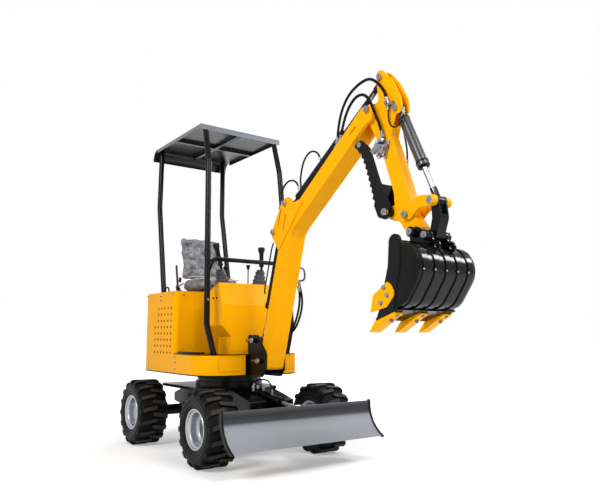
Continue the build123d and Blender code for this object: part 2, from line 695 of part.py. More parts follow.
def roof():
    rows = [  # x, z, corner radius: outer side view
        (ROOF_REAR, ROOF_TOP - ROOF_REAR_DROP, 0),
        (ROOF_REAR, ROOF_TOP, ROOF_REAR_R),
        (ROOF_FRONT, ROOF_TOP, 12),
        (ROOF_FRONT, ROOF_TOP - ROOF_FRONT_DROP, 0),
        (ROOF_FRONT - ROOF_T, ROOF_TOP - ROOF_FRONT_DROP, 0),
        (ROOF_FRONT - ROOF_T, ROOF_TOP - ROOF_T, 7),
        (ROOF_REAR + ROOF_T, ROOF_TOP - ROOF_T, ROOF_REAR_R - ROOF_T),
        (ROOF_REAR + ROOF_T, ROOF_TOP - ROOF_REAR_DROP, 0),
    ]
    shape = side_slab(rows, -ROOF_HALF_W, ROOF_HALF_W)
    for side in (-1, 1):
        y0, y1 = sorted((side * ROOF_HALF_W, side * (ROOF_HALF_W - ROOF_T)))
        shape += box(ROOF_REAR + 80, ROOF_FRONT - 2, y0, y1, ROOF_TOP - 28, ROOF_TOP - ROOF_T)
    under = ROOF_TOP - ROOF_T
    shape += box(ROOF_REAR + 76, ROOF_FRONT - 8, -15, 15, under - 25, under)
    shape += box(-300, -270, -ROOF_HALF_W + ROOF_T, ROOF_HALF_W - ROOF_T, under - 25, under)
    return shape


def handrail():
    path = [(262, -315, 1215), (262, -285, 1290), (262, 285, 1290), (262, 315, 1215)]
    return bent_tube(path, 50, 15) - posts(FRONT_POST)


# ---- boom -------------------------------------------------------------------------------
BOOM_LEAN = 0.3007         # lower section's run along X for each unit of height


def boom():
    px, pz = ARM_PIVOT
    low_x = lambda z: 604 + BOOM_LEAN * (z - 612)
    rows = [  # x, z, corner radius
        (FOOT_PIN[0] - 45, FOOT_PIN[1] - 55, 45),
        (FOOT_PIN[0] + 58, FOOT_PIN[1] - 55, 30),
        (low_x(1400), 1400, 30),
        (880, 1441, 30),
        (px - 12, pz - 70, 10),
        (px + 32, pz - 66, 20),
        (px + 36, pz - 20, 15),
        (px + 18, pz + 22, 25),
        (px - 46, pz + 26, 25),
        (753, 1474, 30),
        (low_x(650) - 108, 650, 30),
    ]
    shape = side_slab(rows, -BOOM_HALF_W, BOOM_HALF_W)
    fork = side_slab([(px - 92, pz - 140, 0), (px + 120, pz - 140, 0), (px + 120, pz + 160, 0),
                      (px - 92, pz + 160, 0)], -FORK_IN, FORK_IN)
    shape -= fork
    mark = Plane(origin=(1438, 0, 1900), x_dir=(0.84, 0, 0.54), z_dir=(0, -1, 0)) * SlotOverall(62, 12)
    shape -= extrude(mark, amount=BOOM_HALF_W + 10, both=True) - box(0, 2000, -48, 48, 0, 3000)
    shape -= cross_pin(FOOT_PIN, PIN_R + FIT, -BOOM_HALF_W, BOOM_HALF_W)
    shape += cross_pin(ARM_PIVOT, PIN_R, -BOOM_HALF_W - 16, BOOM_HALF_W + 16)
    bracket = [  # x, z, corner radius: elbow doubler plates
        (BOOM_CYL_TOP[0] - 34, BOOM_CYL_TOP[1] - 10, 24),
        (BOOM_CYL_TOP[0] + 52, 1310, 12),
        (980, 1585, 10),
        (950, 1600, 10),
        (870, 1590, 30),
        (ARM_CYL_BASE[0] + 20, ARM_CYL_BASE[1] + 42, 20),
        (ARM_CYL_BASE[0] - 40, ARM_CYL_BASE[1] + 20, 30),
    ]
    plates = twin_slabs(bracket, BOOM_HALF_W - 12, ELBOW_OUT)
    for x, z in ((735, 1520), (790, 1480)):
        slot = Plane(origin=(x, 0, z), x_dir=(0.32, 0, 0.95), z_dir=(0, -1, 0)) * SlotOverall(110, 12)
        plates -= extrude(slot, amount=200, both=True)
    shape += plates
    shape += cross_pin(ARM_CYL_BASE, PIN_R, -ELBOW_OUT - 16, ELBOW_OUT + 16)
    shape += cross_pin(BOOM_CYL_TOP, PIN_R, -ELBOW_OUT - 16, ELBOW_OUT + 16)
    return shape


def arm():
    bx, bz = BUCKET_PIN
    rows = [  # x, z, corner radius: box section below the head
        (1622, 1860, 0),
        (1722, 1860, 0),
        (1704, 1806, 20),
        (1838, 1438, 20),
        (1846, 1372, 20),
        (bx + 26, bz + 30, 12),
        (bx + 26, bz - 26, 25),
        (bx - 26, bz - 26, 25),
        (1780, 1310, 10),
        (1745, 1360, 20),
        (1722, 1440, 20),
        (1718, 1500, 60),
        (1650, 1700, 40),
    ]
    shape = side_slab(rows, -ARM_HALF_W, ARM_HALF_W)
    head = [  # x, z, corner radius: side plates of the head
        (ARM_PIVOT[0] - 34, ARM_PIVOT[1] - 40, 30),
        (1606, 1800, 20),
        (1654, 1695, 0),
        (1706, 1802, 0),
        (1718, 1852, 20),
        (1734, 1884, 12),
        (1748, 1909, 12),
        (1788, 1909, 26),
        (1788, 1985, 150),
        (1722, 2102, 200),
        (1650, 2184, 60),
        (1604, 2190, 18),
        (1609, 2100, 40),
        (1618, 2012, 20),
        (ARM_PIVOT[0] - 34, ARM_PIVOT[1] + 34, 34),
    ]
    shape += twin_slabs(head, 22, ARM_HALF_W)
    shape += cross_pin(ARM_PIVOT, BOSS_R + 6, -ARM_HALF_W - 4, ARM_HALF_W + 4)
    shape -= cross_pin(ARM_PIVOT, PIN_R + FIT, -60, 60)
    shape += cross_pin(BUCKET_CYL_BASE, PIN_R, -ARM_HALF_W - 16, ARM_HALF_W + 16)
    for side in (-1, 1):
        y0, y1 = sorted((side * 22, side * (ARM_HALF_W + 16)))
        shape += cross_pin(ARM_CYL_EYE, PIN_R, y0, y1)
    shape += cross_pin(ROCKER_PIVOT, PIN_R, -62, 62)
    shape -= cross_pin(BUCKET_PIN, PIN_R + FIT, -60, 60)
    px, pz = THUMB_PIVOT
    eye = [(px - 24, pz - 24, 22), (1760, 1340, 0), (1740, 1450, 0), (px - 24, pz + 24, 22)]
    shape += side_slab(eye, -THUMB_EYE, THUMB_EYE)
    return shape + cross_pin(THUMB_PIVOT, PIN_R, -68, 68)


def rocker():
    rows = [  # x, z, corner radius
        (ROCKER_PIVOT[0] - 24, ROCKER_PIVOT[1] - 24, 23),
        (ROCKER_PIVOT[0] + 30, ROCKER_PIVOT[1] - 26, 20),
        (1900, 1392, 60),
        (ROCKER_EYE[0] + 26, ROCKER_EYE[1] - 28, 25),
        (ROCKER_EYE[0] + 26, ROCKER_EYE[1] + 26, 26),
        (1900, 1452, 60),
        (ROCKER_PIVOT[0] - 24, ROCKER_PIVOT[1] + 26, 23),
    ]
    shape = twin_slabs(rows, 33, 45)
    shape += cross_pin(ROCKER_EYE, PIN_R + 10, 33, 68) + cross_pin(ROCKER_EYE, PIN_R + 10, -68, -33)
    shape += cross_pin(ROCKER_EYE, PIN_R, 19, 34) + cross_pin(ROCKER_EYE, PIN_R, -34, -19)
    return shape - cross_pin(ROCKER_PIVOT, PIN_R + FIT, -80, 80)


def bucket_link():
    rows = [  # x, z, corner radius
        (LINK_PIN[0] - 22, LINK_PIN[1] - 22, 21),
        (LINK_PIN[0] + 26, LINK_PIN[1] - 22, 21),
        (LINK_PIN[0] + 62, 1330, 60),
        (ROCKER_EYE[0] + 24, ROCKER_EYE[1] + 24, 23),
        (ROCKER_EYE[0] - 24, ROCKER_EYE[1] + 24, 23),
        (LINK_PIN[0] + 8, 1330, 60),
    ]
    shape = side_slab(rows, -30, 30)
    shape -= side_slab([(1900, 1345, 0), (2100, 1345, 0), (2100, 1460, 0), (1900, 1460, 0)], -20, 20)
    return shape - cross_pin(ROCKER_EYE, PIN_R + FIT, -40, 40)


BUCKET_OUTER = [  # x, z, corner radius: profile of the shell
    (BUCKET_LIP[0], BUCKET_LIP[1], 0),
    (1940, 925, 90),
    (2058, 1090, 110),
    (1990, 1185, 60),
    (1885, 1215, 20),
    (1870, 1230, 0),
]
STRAPS = 5
STRAP_PITCH = 76.0
STRAP_HALF = 19.0
STRAP_T = 6.0
BAND_LAST = (1893.0, 909.0)      # rear of the cutting edge plate


def wear_straps():
    """Raised straps over the back of the shell, from its top to the cutting edge plate."""
    plane = Plane(origin=(0, STRAP_HALF, 0), x_dir=(1, 0, 0), z_dir=(0, -1, 0))
    shell = rounded_face(BUCKET_OUTER)
    ring = offset(shell, amount=STRAP_T) - shell
    last = BAND_LAST[0] - 6
    back = [(1935, 1300, 0), (2200, 1300, 0), (2200, 800, 0), (last, 800, 0), (last, 960, 0)]
    strap = extrude(plane * ring, amount=2 * STRAP_HALF) & side_slab(back, -STRAP_HALF, STRAP_HALF)
    return [Pos(0, (i - STRAPS // 2) * STRAP_PITCH, 0) * strap for i in range(STRAPS)]


def bucket():
    px, pz = BUCKET_LIP
    shape = side_slab(BUCKET_OUTER, -BUCKET_HALF_W, BUCKET_HALF_W) + wear_straps()
    inner = [
        (px - 30, pz - 2, 0),
        (1936, 934, 82),
        (2049, 1090, 102),
        (1985, 1177, 52),
        (1880, 1206, 14),
        (1800, 1240, 0),
    ]
    shape -= side_slab(inner, -BUCKET_HALF_W + BUCKET_T, BUCKET_HALF_W - BUCKET_T)
    strip = [  # x, z, corner radius: thick front strip of the side plates
        (px, pz, 0), (1870, 900, 0), (1882, 965, 30), (1914, 1105, 60), (1922, 1250, 37), (1848, 1252, 37),
        (1845, 1205, 30), (1831, 1035, 30),
    ]
    for side in (-1, 1):
        y0, y1 = sorted((side * (BUCKET_HALF_W - BUCKET_T), side * (BUCKET_HALF_W + 6)))
        shape += side_slab(strip, y0, y1)
    bx, bz = BAND_LAST
    band = [(px - 10, pz - 3, 0), (px - 2, pz - 13, 0), (bx + 4, bz - 12, 0), (bx, bz, 0)]
    shape += side_slab(band, -BUCKET_HALF_W - 6, BUCKET_HALF_W + 6)
    ear = [  # x, z, corner radius: ears on the top plate
        (1850, 1195, 0), (1985, 1165, 0), (2034, 1172, 20), (2034, 1216, 22), (1992, 1216, 20),
        (LINK_PIN[0] + 26, LINK_PIN[1] + 24, 25), (LINK_PIN[0] - 20, LINK_PIN[1] + 26, 20),
        (BUCKET_PIN[0] + 20, BUCKET_PIN[1] + 26, 20), (BUCKET_PIN[0] - 26, BUCKET_PIN[1] + 24, 25),
    ]
    shape += twin_slabs(ear, 46, 58)
    shape -= cross_pin((2011, 1194), 10, 40, 64) + cross_pin((2011, 1194), 10, -64, -40)
    shape += cross_pin(BUCKET_PIN, BOSS_R, 34, 84) + cross_pin(BUCKET_PIN, BOSS_R, -84, -34)
    shape += cross_pin(BUCKET_PIN, PIN_R, -92, 92)
    shape += cross_pin(LINK_PIN, BOSS_R, 34, 84) + cross_pin(LINK_PIN, BOSS_R, -84, -34)
    return shape


TOOTH_PITCH = 168.0
TOOTH_HALF = 29.0


def bucket_teeth():
    lip_x, lip_z = BUCKET_LIP
    rows = [  # x, z, corner radius: tip, bolted plate, then the lip
        (lip_x - 57, lip_z - 69, 0), (lip_x - 33, lip_z - 67, 0), (lip_x + 93, lip_z + 4, 6),
        (lip_x + 122, lip_z + 16, 6), (lip_x + 112, lip_z + 33, 0), (lip_x - 6, lip_z - 6, 0),
    ]
    shape = None
    for i in (-1, 0, 1):
        tooth = side_slab(rows, i * TOOTH_PITCH - TOOTH_HALF, i * TOOTH_PITCH + TOOTH_HALF)
        shape = tooth if shape is None else shape + tooth
    cutter = [  # x, z, corner radius
        (1722, 889, 6), (1740, 972, 6), (1838, 1031, 10), (1861, 1015, 10), (1880, 985, 12), (1878, 962, 12),
        (1831, 913, 6),
    ]
    for side in (-1, 1):
        y0, y1 = sorted((side * (BUCKET_HALF_W + 6), side * (BUCKET_HALF_W + 14)))
        shape += side_slab(cutter, y0, y1)
    return shape


THUMB_TEETH = [  # x, z of the tips along the gripping edge, from the hinge outward
    (1577, 1492), (1569, 1528), (1557, 1562), (1547, 1597), (1535, 1631), (1524, 1666), (1511, 1700),
    (1495, 1732), (1478, 1763),
]


def thumb():
    (px, pz), (tx, tz) = THUMB_PIVOT, THUMB_TIP
    rows = [  # x, z, corner radius: the long plate, hinge first
        (px - 62, pz - 18, 20), (px - 4, pz - 40, 24), (px + 30, pz - 4, 24), (px + 28, pz + 26, 12),
        (px - 42, pz + 162, 60), (px - 96, pz + 306, 60), (px - 122, pz + 372, 20), (tx + 18, tz + 26, 24),
        (tx - 18, tz + 18, 18), (tx - 42, tz + 1, 10), (tx - 10, tz - 26, 0),
    ]
    for (x0, z0), (x1, z1) in zip(reversed(THUMB_TEETH), THUMB_TEETH[-2::-1] + [(1588, 1452)]):
        rows.append((x0, z0, 4))
        rows.append(((x0 + x1) / 2 + 12, (z0 + z1) / 2 + 4, 5))
    rows.append((1588, 1452, 6))
    short = [  # x, z, corner radius: the short plate on the other side
        (px - 62, pz - 18, 20), (px - 4, pz - 40, 24), (px + 30, pz - 4, 24), (px + 28, pz + 26, 12),
        (px - 42, pz + 160, 12), (px - 90, pz + 168, 12), (px - 96, pz + 40, 12),
    ]
    shape = side_slab(rows, -THUMB_OUT, -THUMB_IN) + side_slab(short, THUMB_IN, THUMB_OUT)
    shape -= cross_pin((px - 60, pz + 88), 14, THUMB_IN - 1, THUMB_OUT + 1)
    shape += box(px - 48, px - 40, -THUMB_IN, THUMB_IN, pz + 100, pz + 158)
    shape += cross_pin((tx + 4, tz), 15, -THUMB_IN, -8)
    shape += cross_pin(THUMB_PIVOT, 24, THUMB_EYE + 2, THUMB_IN)
    shape += cross_pin(THUMB_PIVOT, 24, -THUMB_IN, -THUMB_EYE - 2)
    return shape - cross_pin(THUMB_PIVOT, PIN_R + FIT, -80, 80)


# ---- write the parts --------------------------------------------------------------------
os.makedirs("parts", exist_ok=True)

export("chassis_frame", chassis_frame(), BLACK)
export("slewing_ring", slewing_ring(), BLACK)
export("front_axle", front_axle(), BLACK)
export("rear_axle", rear_axle(), BLACK)
for name, side in (("left", 1), ("right", -1)):
    export(f"knuckle_{name}", knuckle(side), BLACK)
    for end, x in (("front", WHEELBASE / 2), ("rear", -WHEELBASE / 2)):
        centre = Pos(x, side * TRACK / 2, AXLE_Z)
        export(f"tyre_{end}_{name}", centre * tyre(), RUBBER)
        export(f"rim_{end}_{name}", centre * rim(side), STEEL)
export("tie_rod", tie_rod(), BLACK)
export("blade", blade(), GREY)

CYLINDERS = [  # name, base pin, rod's eye, tube radius, rod radius, tube's end from base, eye width
    ("blade", BLADE_CYL_BASE, BLADE_CYL_EYE, 24, 12, 270, 36),
    ("boom", BOOM_CYL_TOP, BOOM_CYL_BASE, 30, 15, 500, 50),
    ("arm", ARM_CYL_BASE, ARM_CYL_EYE, 30, 15, 600, 36),
    ("bucket", BUCKET_CYL_BASE, ROCKER_EYE, 29, 14, 375, 34),
]
for name, base, eye, tube_r, rod_r, tube_end, width in CYLINDERS:
    barrel, rod = barrel_and_rod(base, eye, tube_r, rod_r, tube_end, width)
    export(f"{name}_cylinder_barrel", barrel, BLACK)
    export(f"{name}_cylinder_rod", rod, STEEL)

export("turntable", turntable(), BLACK)
export("skirt", skirt(), YELLOW)
export("floor_plate", floor_plate(), BLACK)
export("hood_right", hood_side(-1), YELLOW)
export("hood_left", hood_side(1), YELLOW)
export("hood_rear", hood_rear(), YELLOW)
export("hood_front", hood_front(), YELLOW)
export("hood_top", hood_top(), YELLOW)
export("engine_block", engine_block(), GREY)
export("console", console(), YELLOW)
export("boom_bracket", boom_bracket(), BLACK)
export("seat_base", seat_base(), BLACK)
export("seat_cushion", seat_cushion(), GREY)
export("seat_back", seat_back(), GREY)
export("control_levers", control_levers(), BLACK)
export("front_posts", posts(FRONT_POST), BLACK)
export("rear_posts", posts(REAR_POST), BLACK)
export("canopy_roof", roof(), BLACK)
export("handrail", handrail(), BLACK)
export("boom", boom(), YELLOW)
export("arm", arm(), YELLOW)
export("rocker", rocker(), YELLOW)
export("bucket_link", bucket_link(), BLACK)
export("bucket", bucket(), BLACK)
export("bucket_teeth", bucket_teeth() - bucket(), YELLOW)
export("thumb", thumb(), BLACK)
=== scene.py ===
import json
import math

import bmesh
import bpy
from mathutils import Matrix, Vector, noise

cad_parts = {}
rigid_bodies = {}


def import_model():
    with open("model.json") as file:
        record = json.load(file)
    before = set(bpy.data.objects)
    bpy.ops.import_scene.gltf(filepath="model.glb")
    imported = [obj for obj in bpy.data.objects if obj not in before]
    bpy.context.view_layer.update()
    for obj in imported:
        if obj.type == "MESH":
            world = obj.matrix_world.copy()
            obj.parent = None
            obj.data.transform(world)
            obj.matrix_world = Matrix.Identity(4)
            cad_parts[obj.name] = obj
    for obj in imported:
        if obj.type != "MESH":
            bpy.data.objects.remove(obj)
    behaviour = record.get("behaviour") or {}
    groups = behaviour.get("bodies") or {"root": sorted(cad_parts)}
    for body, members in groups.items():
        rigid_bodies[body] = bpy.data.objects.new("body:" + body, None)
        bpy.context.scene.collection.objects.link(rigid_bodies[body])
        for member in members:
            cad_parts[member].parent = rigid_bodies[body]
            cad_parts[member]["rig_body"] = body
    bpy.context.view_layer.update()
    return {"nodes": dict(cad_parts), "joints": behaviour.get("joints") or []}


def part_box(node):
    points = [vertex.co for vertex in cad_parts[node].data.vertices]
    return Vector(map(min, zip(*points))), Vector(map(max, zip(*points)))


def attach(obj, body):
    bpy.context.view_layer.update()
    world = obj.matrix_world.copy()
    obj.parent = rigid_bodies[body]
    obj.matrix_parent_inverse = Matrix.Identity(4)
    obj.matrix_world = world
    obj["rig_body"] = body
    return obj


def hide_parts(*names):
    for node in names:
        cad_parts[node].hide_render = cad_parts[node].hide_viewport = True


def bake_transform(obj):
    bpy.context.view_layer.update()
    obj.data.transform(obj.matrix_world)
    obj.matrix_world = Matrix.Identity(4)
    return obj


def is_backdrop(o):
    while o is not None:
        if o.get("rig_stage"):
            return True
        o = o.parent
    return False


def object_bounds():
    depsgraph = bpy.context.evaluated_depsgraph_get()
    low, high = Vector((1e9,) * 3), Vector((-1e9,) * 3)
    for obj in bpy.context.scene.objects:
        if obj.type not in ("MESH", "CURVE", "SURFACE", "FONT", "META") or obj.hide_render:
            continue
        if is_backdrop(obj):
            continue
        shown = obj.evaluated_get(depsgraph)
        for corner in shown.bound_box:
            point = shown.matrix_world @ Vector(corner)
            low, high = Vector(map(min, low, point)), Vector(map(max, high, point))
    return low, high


# Wheeled mini excavator. Metres; X forward, Y to the operator's left, Z up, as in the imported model.
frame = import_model()
nodes = frame["nodes"]
joints = {joint["name"]: joint for joint in frame["joints"]}


def pin(joint_name):
    """Where a joint turns, at rest."""
    return Vector(joints[joint_name]["pos_m"])


SLEW_X = pin("slew").x


def at(x, y, z):
    """Point from millimetres measured from the slewing axis, as the machine's own drawing has it."""
    return Vector((SLEW_X + x / 1000, y / 1000, z / 1000))


# ---- camera, floor and light ------------------------------------------------------------
def rgb(colour):
    """Linear RGBA of an sRGB hex colour."""
    parts = [int(colour[i:i + 2], 16) / 255 for i in (1, 3, 5)]
    return tuple(c / 12.92 if c <= 0.04045 else ((c + 0.055) / 1.055) ** 2.4 for c in parts) + (1.0,)


CAMERA_PLACE = (3910, -2198, 787)
CAMERA_YAW = math.radians(144.2)    # direction of sight, from straight ahead toward the left
CAMERA_PITCH = math.radians(7.84)   # and upward
LENS_MM, SENSOR_MM = 36.78, 36.0
WHITE = (1.0, 1.0, 1.0, 1.0)
LAMPS = [  # name, place, target, size, power
    ("key", (1.8, -4.4, 4.0), (0.0, 0.0, 0.9), 2.2, 185),
    ("front", (4.2, 0.2, 4.6), (0.2, 0.0, 0.9), 2.0, 120),
    ("rear", (-3.4, 3.2, 4.2), (0.0, 0.0, 1.0), 2.2, 60),
    ("streak", (2.8, 3.0, 3.3), (1.37, 0.0, 1.1), 1.0, 70),  # the streak of light on the bucket's back
]
ROOM_GLOW = 0.34           # light that the white room itself gives


def place_camera():
    """Camera off the machine's front right corner, a little above its deck, looking slightly up."""
    data = bpy.data.cameras.new("camera")
    camera = bpy.data.objects.new("camera", data)
    bpy.context.scene.collection.objects.link(camera)
    level = math.cos(CAMERA_PITCH)
    look = Vector((math.cos(CAMERA_YAW) * level, math.sin(CAMERA_YAW) * level, math.sin(CAMERA_PITCH)))
    camera.location = at(*CAMERA_PLACE)
    camera.rotation_mode = "QUATERNION"
    camera.rotation_quaternion = look.to_track_quat("-Z", "Y")
    data.sensor_width = SENSOR_MM
    data.lens = LENS_MM
    bpy.context.scene.camera = camera


def area_light(name, place, target, size, power):
    """Round soft lamp aimed at a point."""
    data = bpy.data.lights.new(name, "AREA")
    data.shape = "DISK"
    data.size = size
    data.energy = power
    lamp = bpy.data.objects.new(name, data)
    bpy.context.scene.collection.objects.link(lamp)
    lamp.location = place
    lamp.rotation_mode = "QUATERNION"
    lamp.rotation_quaternion = (Vector(target) - Vector(place)).to_track_quat("-Z", "Y")


def add(tree, kind, inputs=None, **settings):
    """Adds one shader node; an input is given as a value or as the socket that feeds it."""
    node = tree.nodes.new("ShaderNode" + kind)
    for name, value in settings.items():
        setattr(node, name, value)
    for name, value in (inputs or {}).items():
        if isinstance(value, bpy.types.NodeSocket):
            tree.links.new(value, node.inputs[name])
        else:
            node.inputs[name].default_value = value
    return node


def light_the_studio():
    """Soft white room: three lamps for the form, and a smaller one for the streak on the bucket's paint."""
    scene = bpy.context.scene
    scene.view_settings.view_transform = "Standard"
    world = bpy.data.worlds.new("studio")
    world.use_nodes = True
    tree = world.node_tree
    tree.nodes.clear()
    seen = seen_directly(tree)
    soft = add(tree, "Background", {"Color": WHITE, "Strength": ROOM_GLOW})
    white = add(tree, "Background", {"Color": WHITE, "Strength": 1.0})
    mix = add(tree, "MixShader", {0: seen, 1: soft.outputs[0], 2: white.outputs[0]})
    add(tree, "OutputWorld", {"Surface": mix.outputs[0]})
    scene.world = world
    for lamp in LAMPS:
        area_light(*lamp)


def seen_directly(tree):
    """1 for camera, glossy and transmission rays, which show the white room itself, otherwise 0."""
    path = add(tree, "LightPath")
    seen = add(tree, "Math", {0: path.outputs["Is Camera Ray"], 1: path.outputs["Is Glossy Ray"]},
               operation="MAXIMUM")
    seen = add(tree, "Math", {0: seen.outputs[0], 1: path.outputs["Is Transmission Ray"]},
               operation="MAXIMUM")
    return seen.outputs[0]


def lay_floor():
    """Pale floor that keeps the machine's shadow and runs out to plain white."""
    mesh = bpy.data.meshes.new("floor")
    bm = bmesh.new()
    bmesh.ops.create_grid(bm, x_segments=1, y_segments=1, size=40.0)
    bm.to_mesh(mesh)
    bm.free()
    floor = bpy.data.objects.new("floor", mesh)
    bpy.context.scene.collection.objects.link(floor)
    material = bpy.data.materials.new("studio_floor")
    material.use_nodes = True
    tree = material.node_tree
    tree.nodes.clear()
    shade = add(tree, "BsdfDiffuse", {"Color": rgb("#F0F0F0")})
    distance = add(tree, "VectorMath", {0: add(tree, "TexCoord").outputs["Object"]}, operation="LENGTH")
    rise = add(tree, "MapRange", {"Value": distance.outputs["Value"], "From Min": 1.2, "From Max": 4.0,
                                  "To Min": 0.3, "To Max": 1.1})
    glow = add(tree, "Math", {0: rise.outputs["Result"], 1: seen_directly(tree)}, operation="MULTIPLY")
    white = add(tree, "Emission", {"Color": WHITE, "Strength": glow.outputs[0]})
    both = add(tree, "AddShader", {0: shade.outputs[0], 1: white.outputs[0]})
    add(tree, "OutputMaterial", {"Surface": both.outputs[0]})
    mesh.materials.append(material)
    floor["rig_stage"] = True


# ---- materials --------------------------------------------------------------------------
def new_material(name):
    """Empty material, its node tree and the socket with a point's place on the machine, in metres."""
    material = bpy.data.materials.new(name)
    material.use_nodes = True
    tree = material.node_tree
    tree.nodes.clear()
    place = add(tree, "TexCoord").outputs["Object"]
    return material, tree, place


def sprayed_enamel(name, colour, dusty, roughness, specular=0.2, peel=0.02):
    """Gloss enamel sprayed on steel: orange peel a millimetre or two across, and a little dust in patches."""
    material, tree, place = new_material(name)
    patches = add(tree, "TexNoise", {"Vector": place, "Scale": 5.0, "Detail": 6.0, "Roughness": 0.6})
    share = add(tree, "MapRange", {"Value": patches.outputs["Fac"], "From Min": 0.45, "From Max": 0.8,
                                   "To Min": 0.0, "To Max": 0.4})
    tone = add(tree, "Mix", {"Factor": share.outputs["Result"], "A": rgb(colour), "B": rgb(dusty)},
               data_type="RGBA")
    gloss = add(tree, "MapRange", {"Value": patches.outputs["Fac"], "From Min": 0.3, "From Max": 0.8,
                                   "To Min": roughness - 0.05, "To Max": roughness + 0.1})
    skin = add(tree, "TexNoise", {"Vector": place, "Scale": 420.0, "Detail": 2.0})  # 2.4 mm orange peel
    bump = add(tree, "Bump", {"Height": skin.outputs["Fac"], "Strength": peel, "Distance": 0.0004})
    shader = add(tree, "BsdfPrincipled", {"Base Color": tone.outputs[2], "Roughness": gloss.outputs["Result"],
                                          "Normal": bump.outputs["Normal"], "Specular IOR Level": specular})
    add(tree, "OutputMaterial", {"Surface": shader.outputs[0]})
    return material


def blade_enamel():
    """Grey enamel on rolled plate: rolling streaks along the blade, and a painted dark reflection over its
    upper third.
    """
    material, tree, place = new_material("blade_enamel")
    streaks = add(tree, "Mapping", {"Vector": place, "Scale": (30.0, 1.2, 90.0)})  # streaks about 10 mm tall
    drawn = add(tree, "TexNoise", {"Vector": streaks.outputs["Vector"], "Scale": 1.0, "Detail": 5.0})
    height = add(tree, "SeparateXYZ", {"Vector": place})
    wavy = add(tree, "Math", {0: drawn.outputs["Fac"], 1: 0.02, 2: height.outputs["Z"]},
               operation="MULTIPLY_ADD")  # the painted reflection's edge wanders by 20 mm
    share = add(tree, "ValToRGB", {"Fac": add(tree, "MapRange", {
        "Value": wavy.outputs[0], "From Min": 0.27, "From Max": 0.385}).outputs["Result"]})
    # the dark colours of this ramp are the painted dark reflection on the blade's curved top
    ramp = share.color_ramp
    ramp.elements[0].color, ramp.elements[1].color = rgb("#8C8F97"), rgb("#55575B")
    for position, colour in ((0.2, "#878A92"), (0.34, "#3A3B3F"), (0.66, "#26272A")):
        ramp.elements.new(position).color = rgb(colour)
    shader = add(tree, "BsdfPrincipled", {"Base Color": share.outputs["Color"], "Roughness": 0.42,
                                          "Specular IOR Level": 0.2})
    add(tree, "OutputMaterial", {"Surface": shader.outputs[0]})
    return material


def tyre_rubber():
    """Vulcanised tread rubber: near black, dull, dusty brown where it has touched the ground."""
    material, tree, place = new_material("tyre_rubber")
    grime = add(tree, "TexNoise", {"Vector": place, "Scale": 26.0, "Detail": 8.0, "Roughness": 0.7})
    share = add(tree, "MapRange", {"Value": grime.outputs["Fac"], "From Min": 0.5, "From Max": 0.85,
                                   "To Min": 0.0, "To Max": 0.5})
    tone = add(tree, "Mix", {"Factor": share.outputs["Result"], "A": rgb("#0B0B0B"), "B": rgb("#2A2725")},
               data_type="RGBA")
    grain = add(tree, "TexNoise", {"Vector": place, "Scale": 700.0, "Detail": 3.0})  # 1.5 mm mould grain
    bump = add(tree, "Bump", {"Height": grain.outputs["Fac"], "Strength": 0.25, "Distance": 0.0006})
    shader = add(tree, "BsdfPrincipled", {"Base Color": tone.outputs[2], "Roughness": 0.5,
                                          "Normal": bump.outputs["Normal"], "Specular IOR Level": 0.12})
    add(tree, "OutputMaterial", {"Surface": shader.outputs[0]})
    return material


def metal(name, colour, roughness, grain_mm=0.5, spread=0.12):
    """Bare or plated steel, with fine machining grain that varies its gloss."""
    material, tree, place = new_material(name)
    grain = add(tree, "TexNoise", {"Vector": place, "Scale": 1.0 / (grain_mm / 1000), "Detail": 2.0})
    gloss = add(tree, "MapRange", {"Value": grain.outputs["Fac"], "From Min": 0.3, "From Max": 0.7,
                                   "To Min": max(roughness - spread / 2, 0.03), "To Max": roughness + spread})
    shader = add(tree, "BsdfPrincipled", {"Base Color": rgb(colour), "Metallic": 1.0,
                                          "Roughness": gloss.outputs["Result"]})
    add(tree, "OutputMaterial", {"Surface": shader.outputs[0]})
    return material


def moulded(name, colour, roughness, grain_mm=1.2, strength=0.2, specular=0.3):
    """Moulded rubber or plastic with a fine pebbled surface."""
    material, tree, place = new_material(name)
    grain = add(tree, "TexNoise", {"Vector": place, "Scale": 1.0 / (grain_mm / 1000), "Detail": 3.0})
    bump = add(tree, "Bump", {"Height": grain.outputs["Fac"], "Strength": strength, "Distance": 0.0004})
    shader = add(tree, "BsdfPrincipled", {"Base Color": rgb(colour), "Roughness": roughness,
                                          "Normal": bump.outputs["Normal"], "Specular IOR Level": specular})
    add(tree, "OutputMaterial", {"Surface": shader.outputs[0]})
    return material


def seat_vinyl():
    """Grey coated cloth: creases rub paler, and the weave shows at about two millimetres."""
    material, tree, place = new_material("seat_vinyl")
    wear = add(tree, "TexNoise", {"Vector": place, "Scale": 22.0, "Detail": 7.0, "Roughness": 0.7})
    share = add(tree, "MapRange", {"Value": wear.outputs["Fac"], "From Min": 0.35, "From Max": 0.68})
    tone = add(tree, "Mix", {"Factor": share.outputs["Result"], "A": rgb("#34363A"), "B": rgb("#9EA0A6")},
               data_type="RGBA")
    weave = add(tree, "TexVoronoi", {"Vector": place, "Scale": 520.0})  # threads 1.9 mm apart
    # creases about 30 mm long
    creases = add(tree, "TexNoise", {"Vector": place, "Scale": 34.0, "Detail": 5.0, "Distortion": 1.5})
    height = add(tree, "Math", {0: weave.outputs["Distance"], 1: 0.06, 2: creases.outputs["Fac"]},
                 operation="MULTIPLY_ADD")
    bump = add(tree, "Bump", {"Height": height.outputs[0], "Strength": 0.6, "Distance": 0.006})
    shader = add(tree, "BsdfPrincipled", {"Base Color": tone.outputs[2], "Roughness": 0.48,
                                          "Normal": bump.outputs["Normal"], "Specular IOR Level": 0.4})
    add(tree, "OutputMaterial", {"Surface": shader.outputs[0]})
    return material


# Warm traffic yellow, even and only softly shining
YELLOW = sprayed_enamel("yellow_enamel", "#FFB000", "#FAA400", 0.34, 0.06)
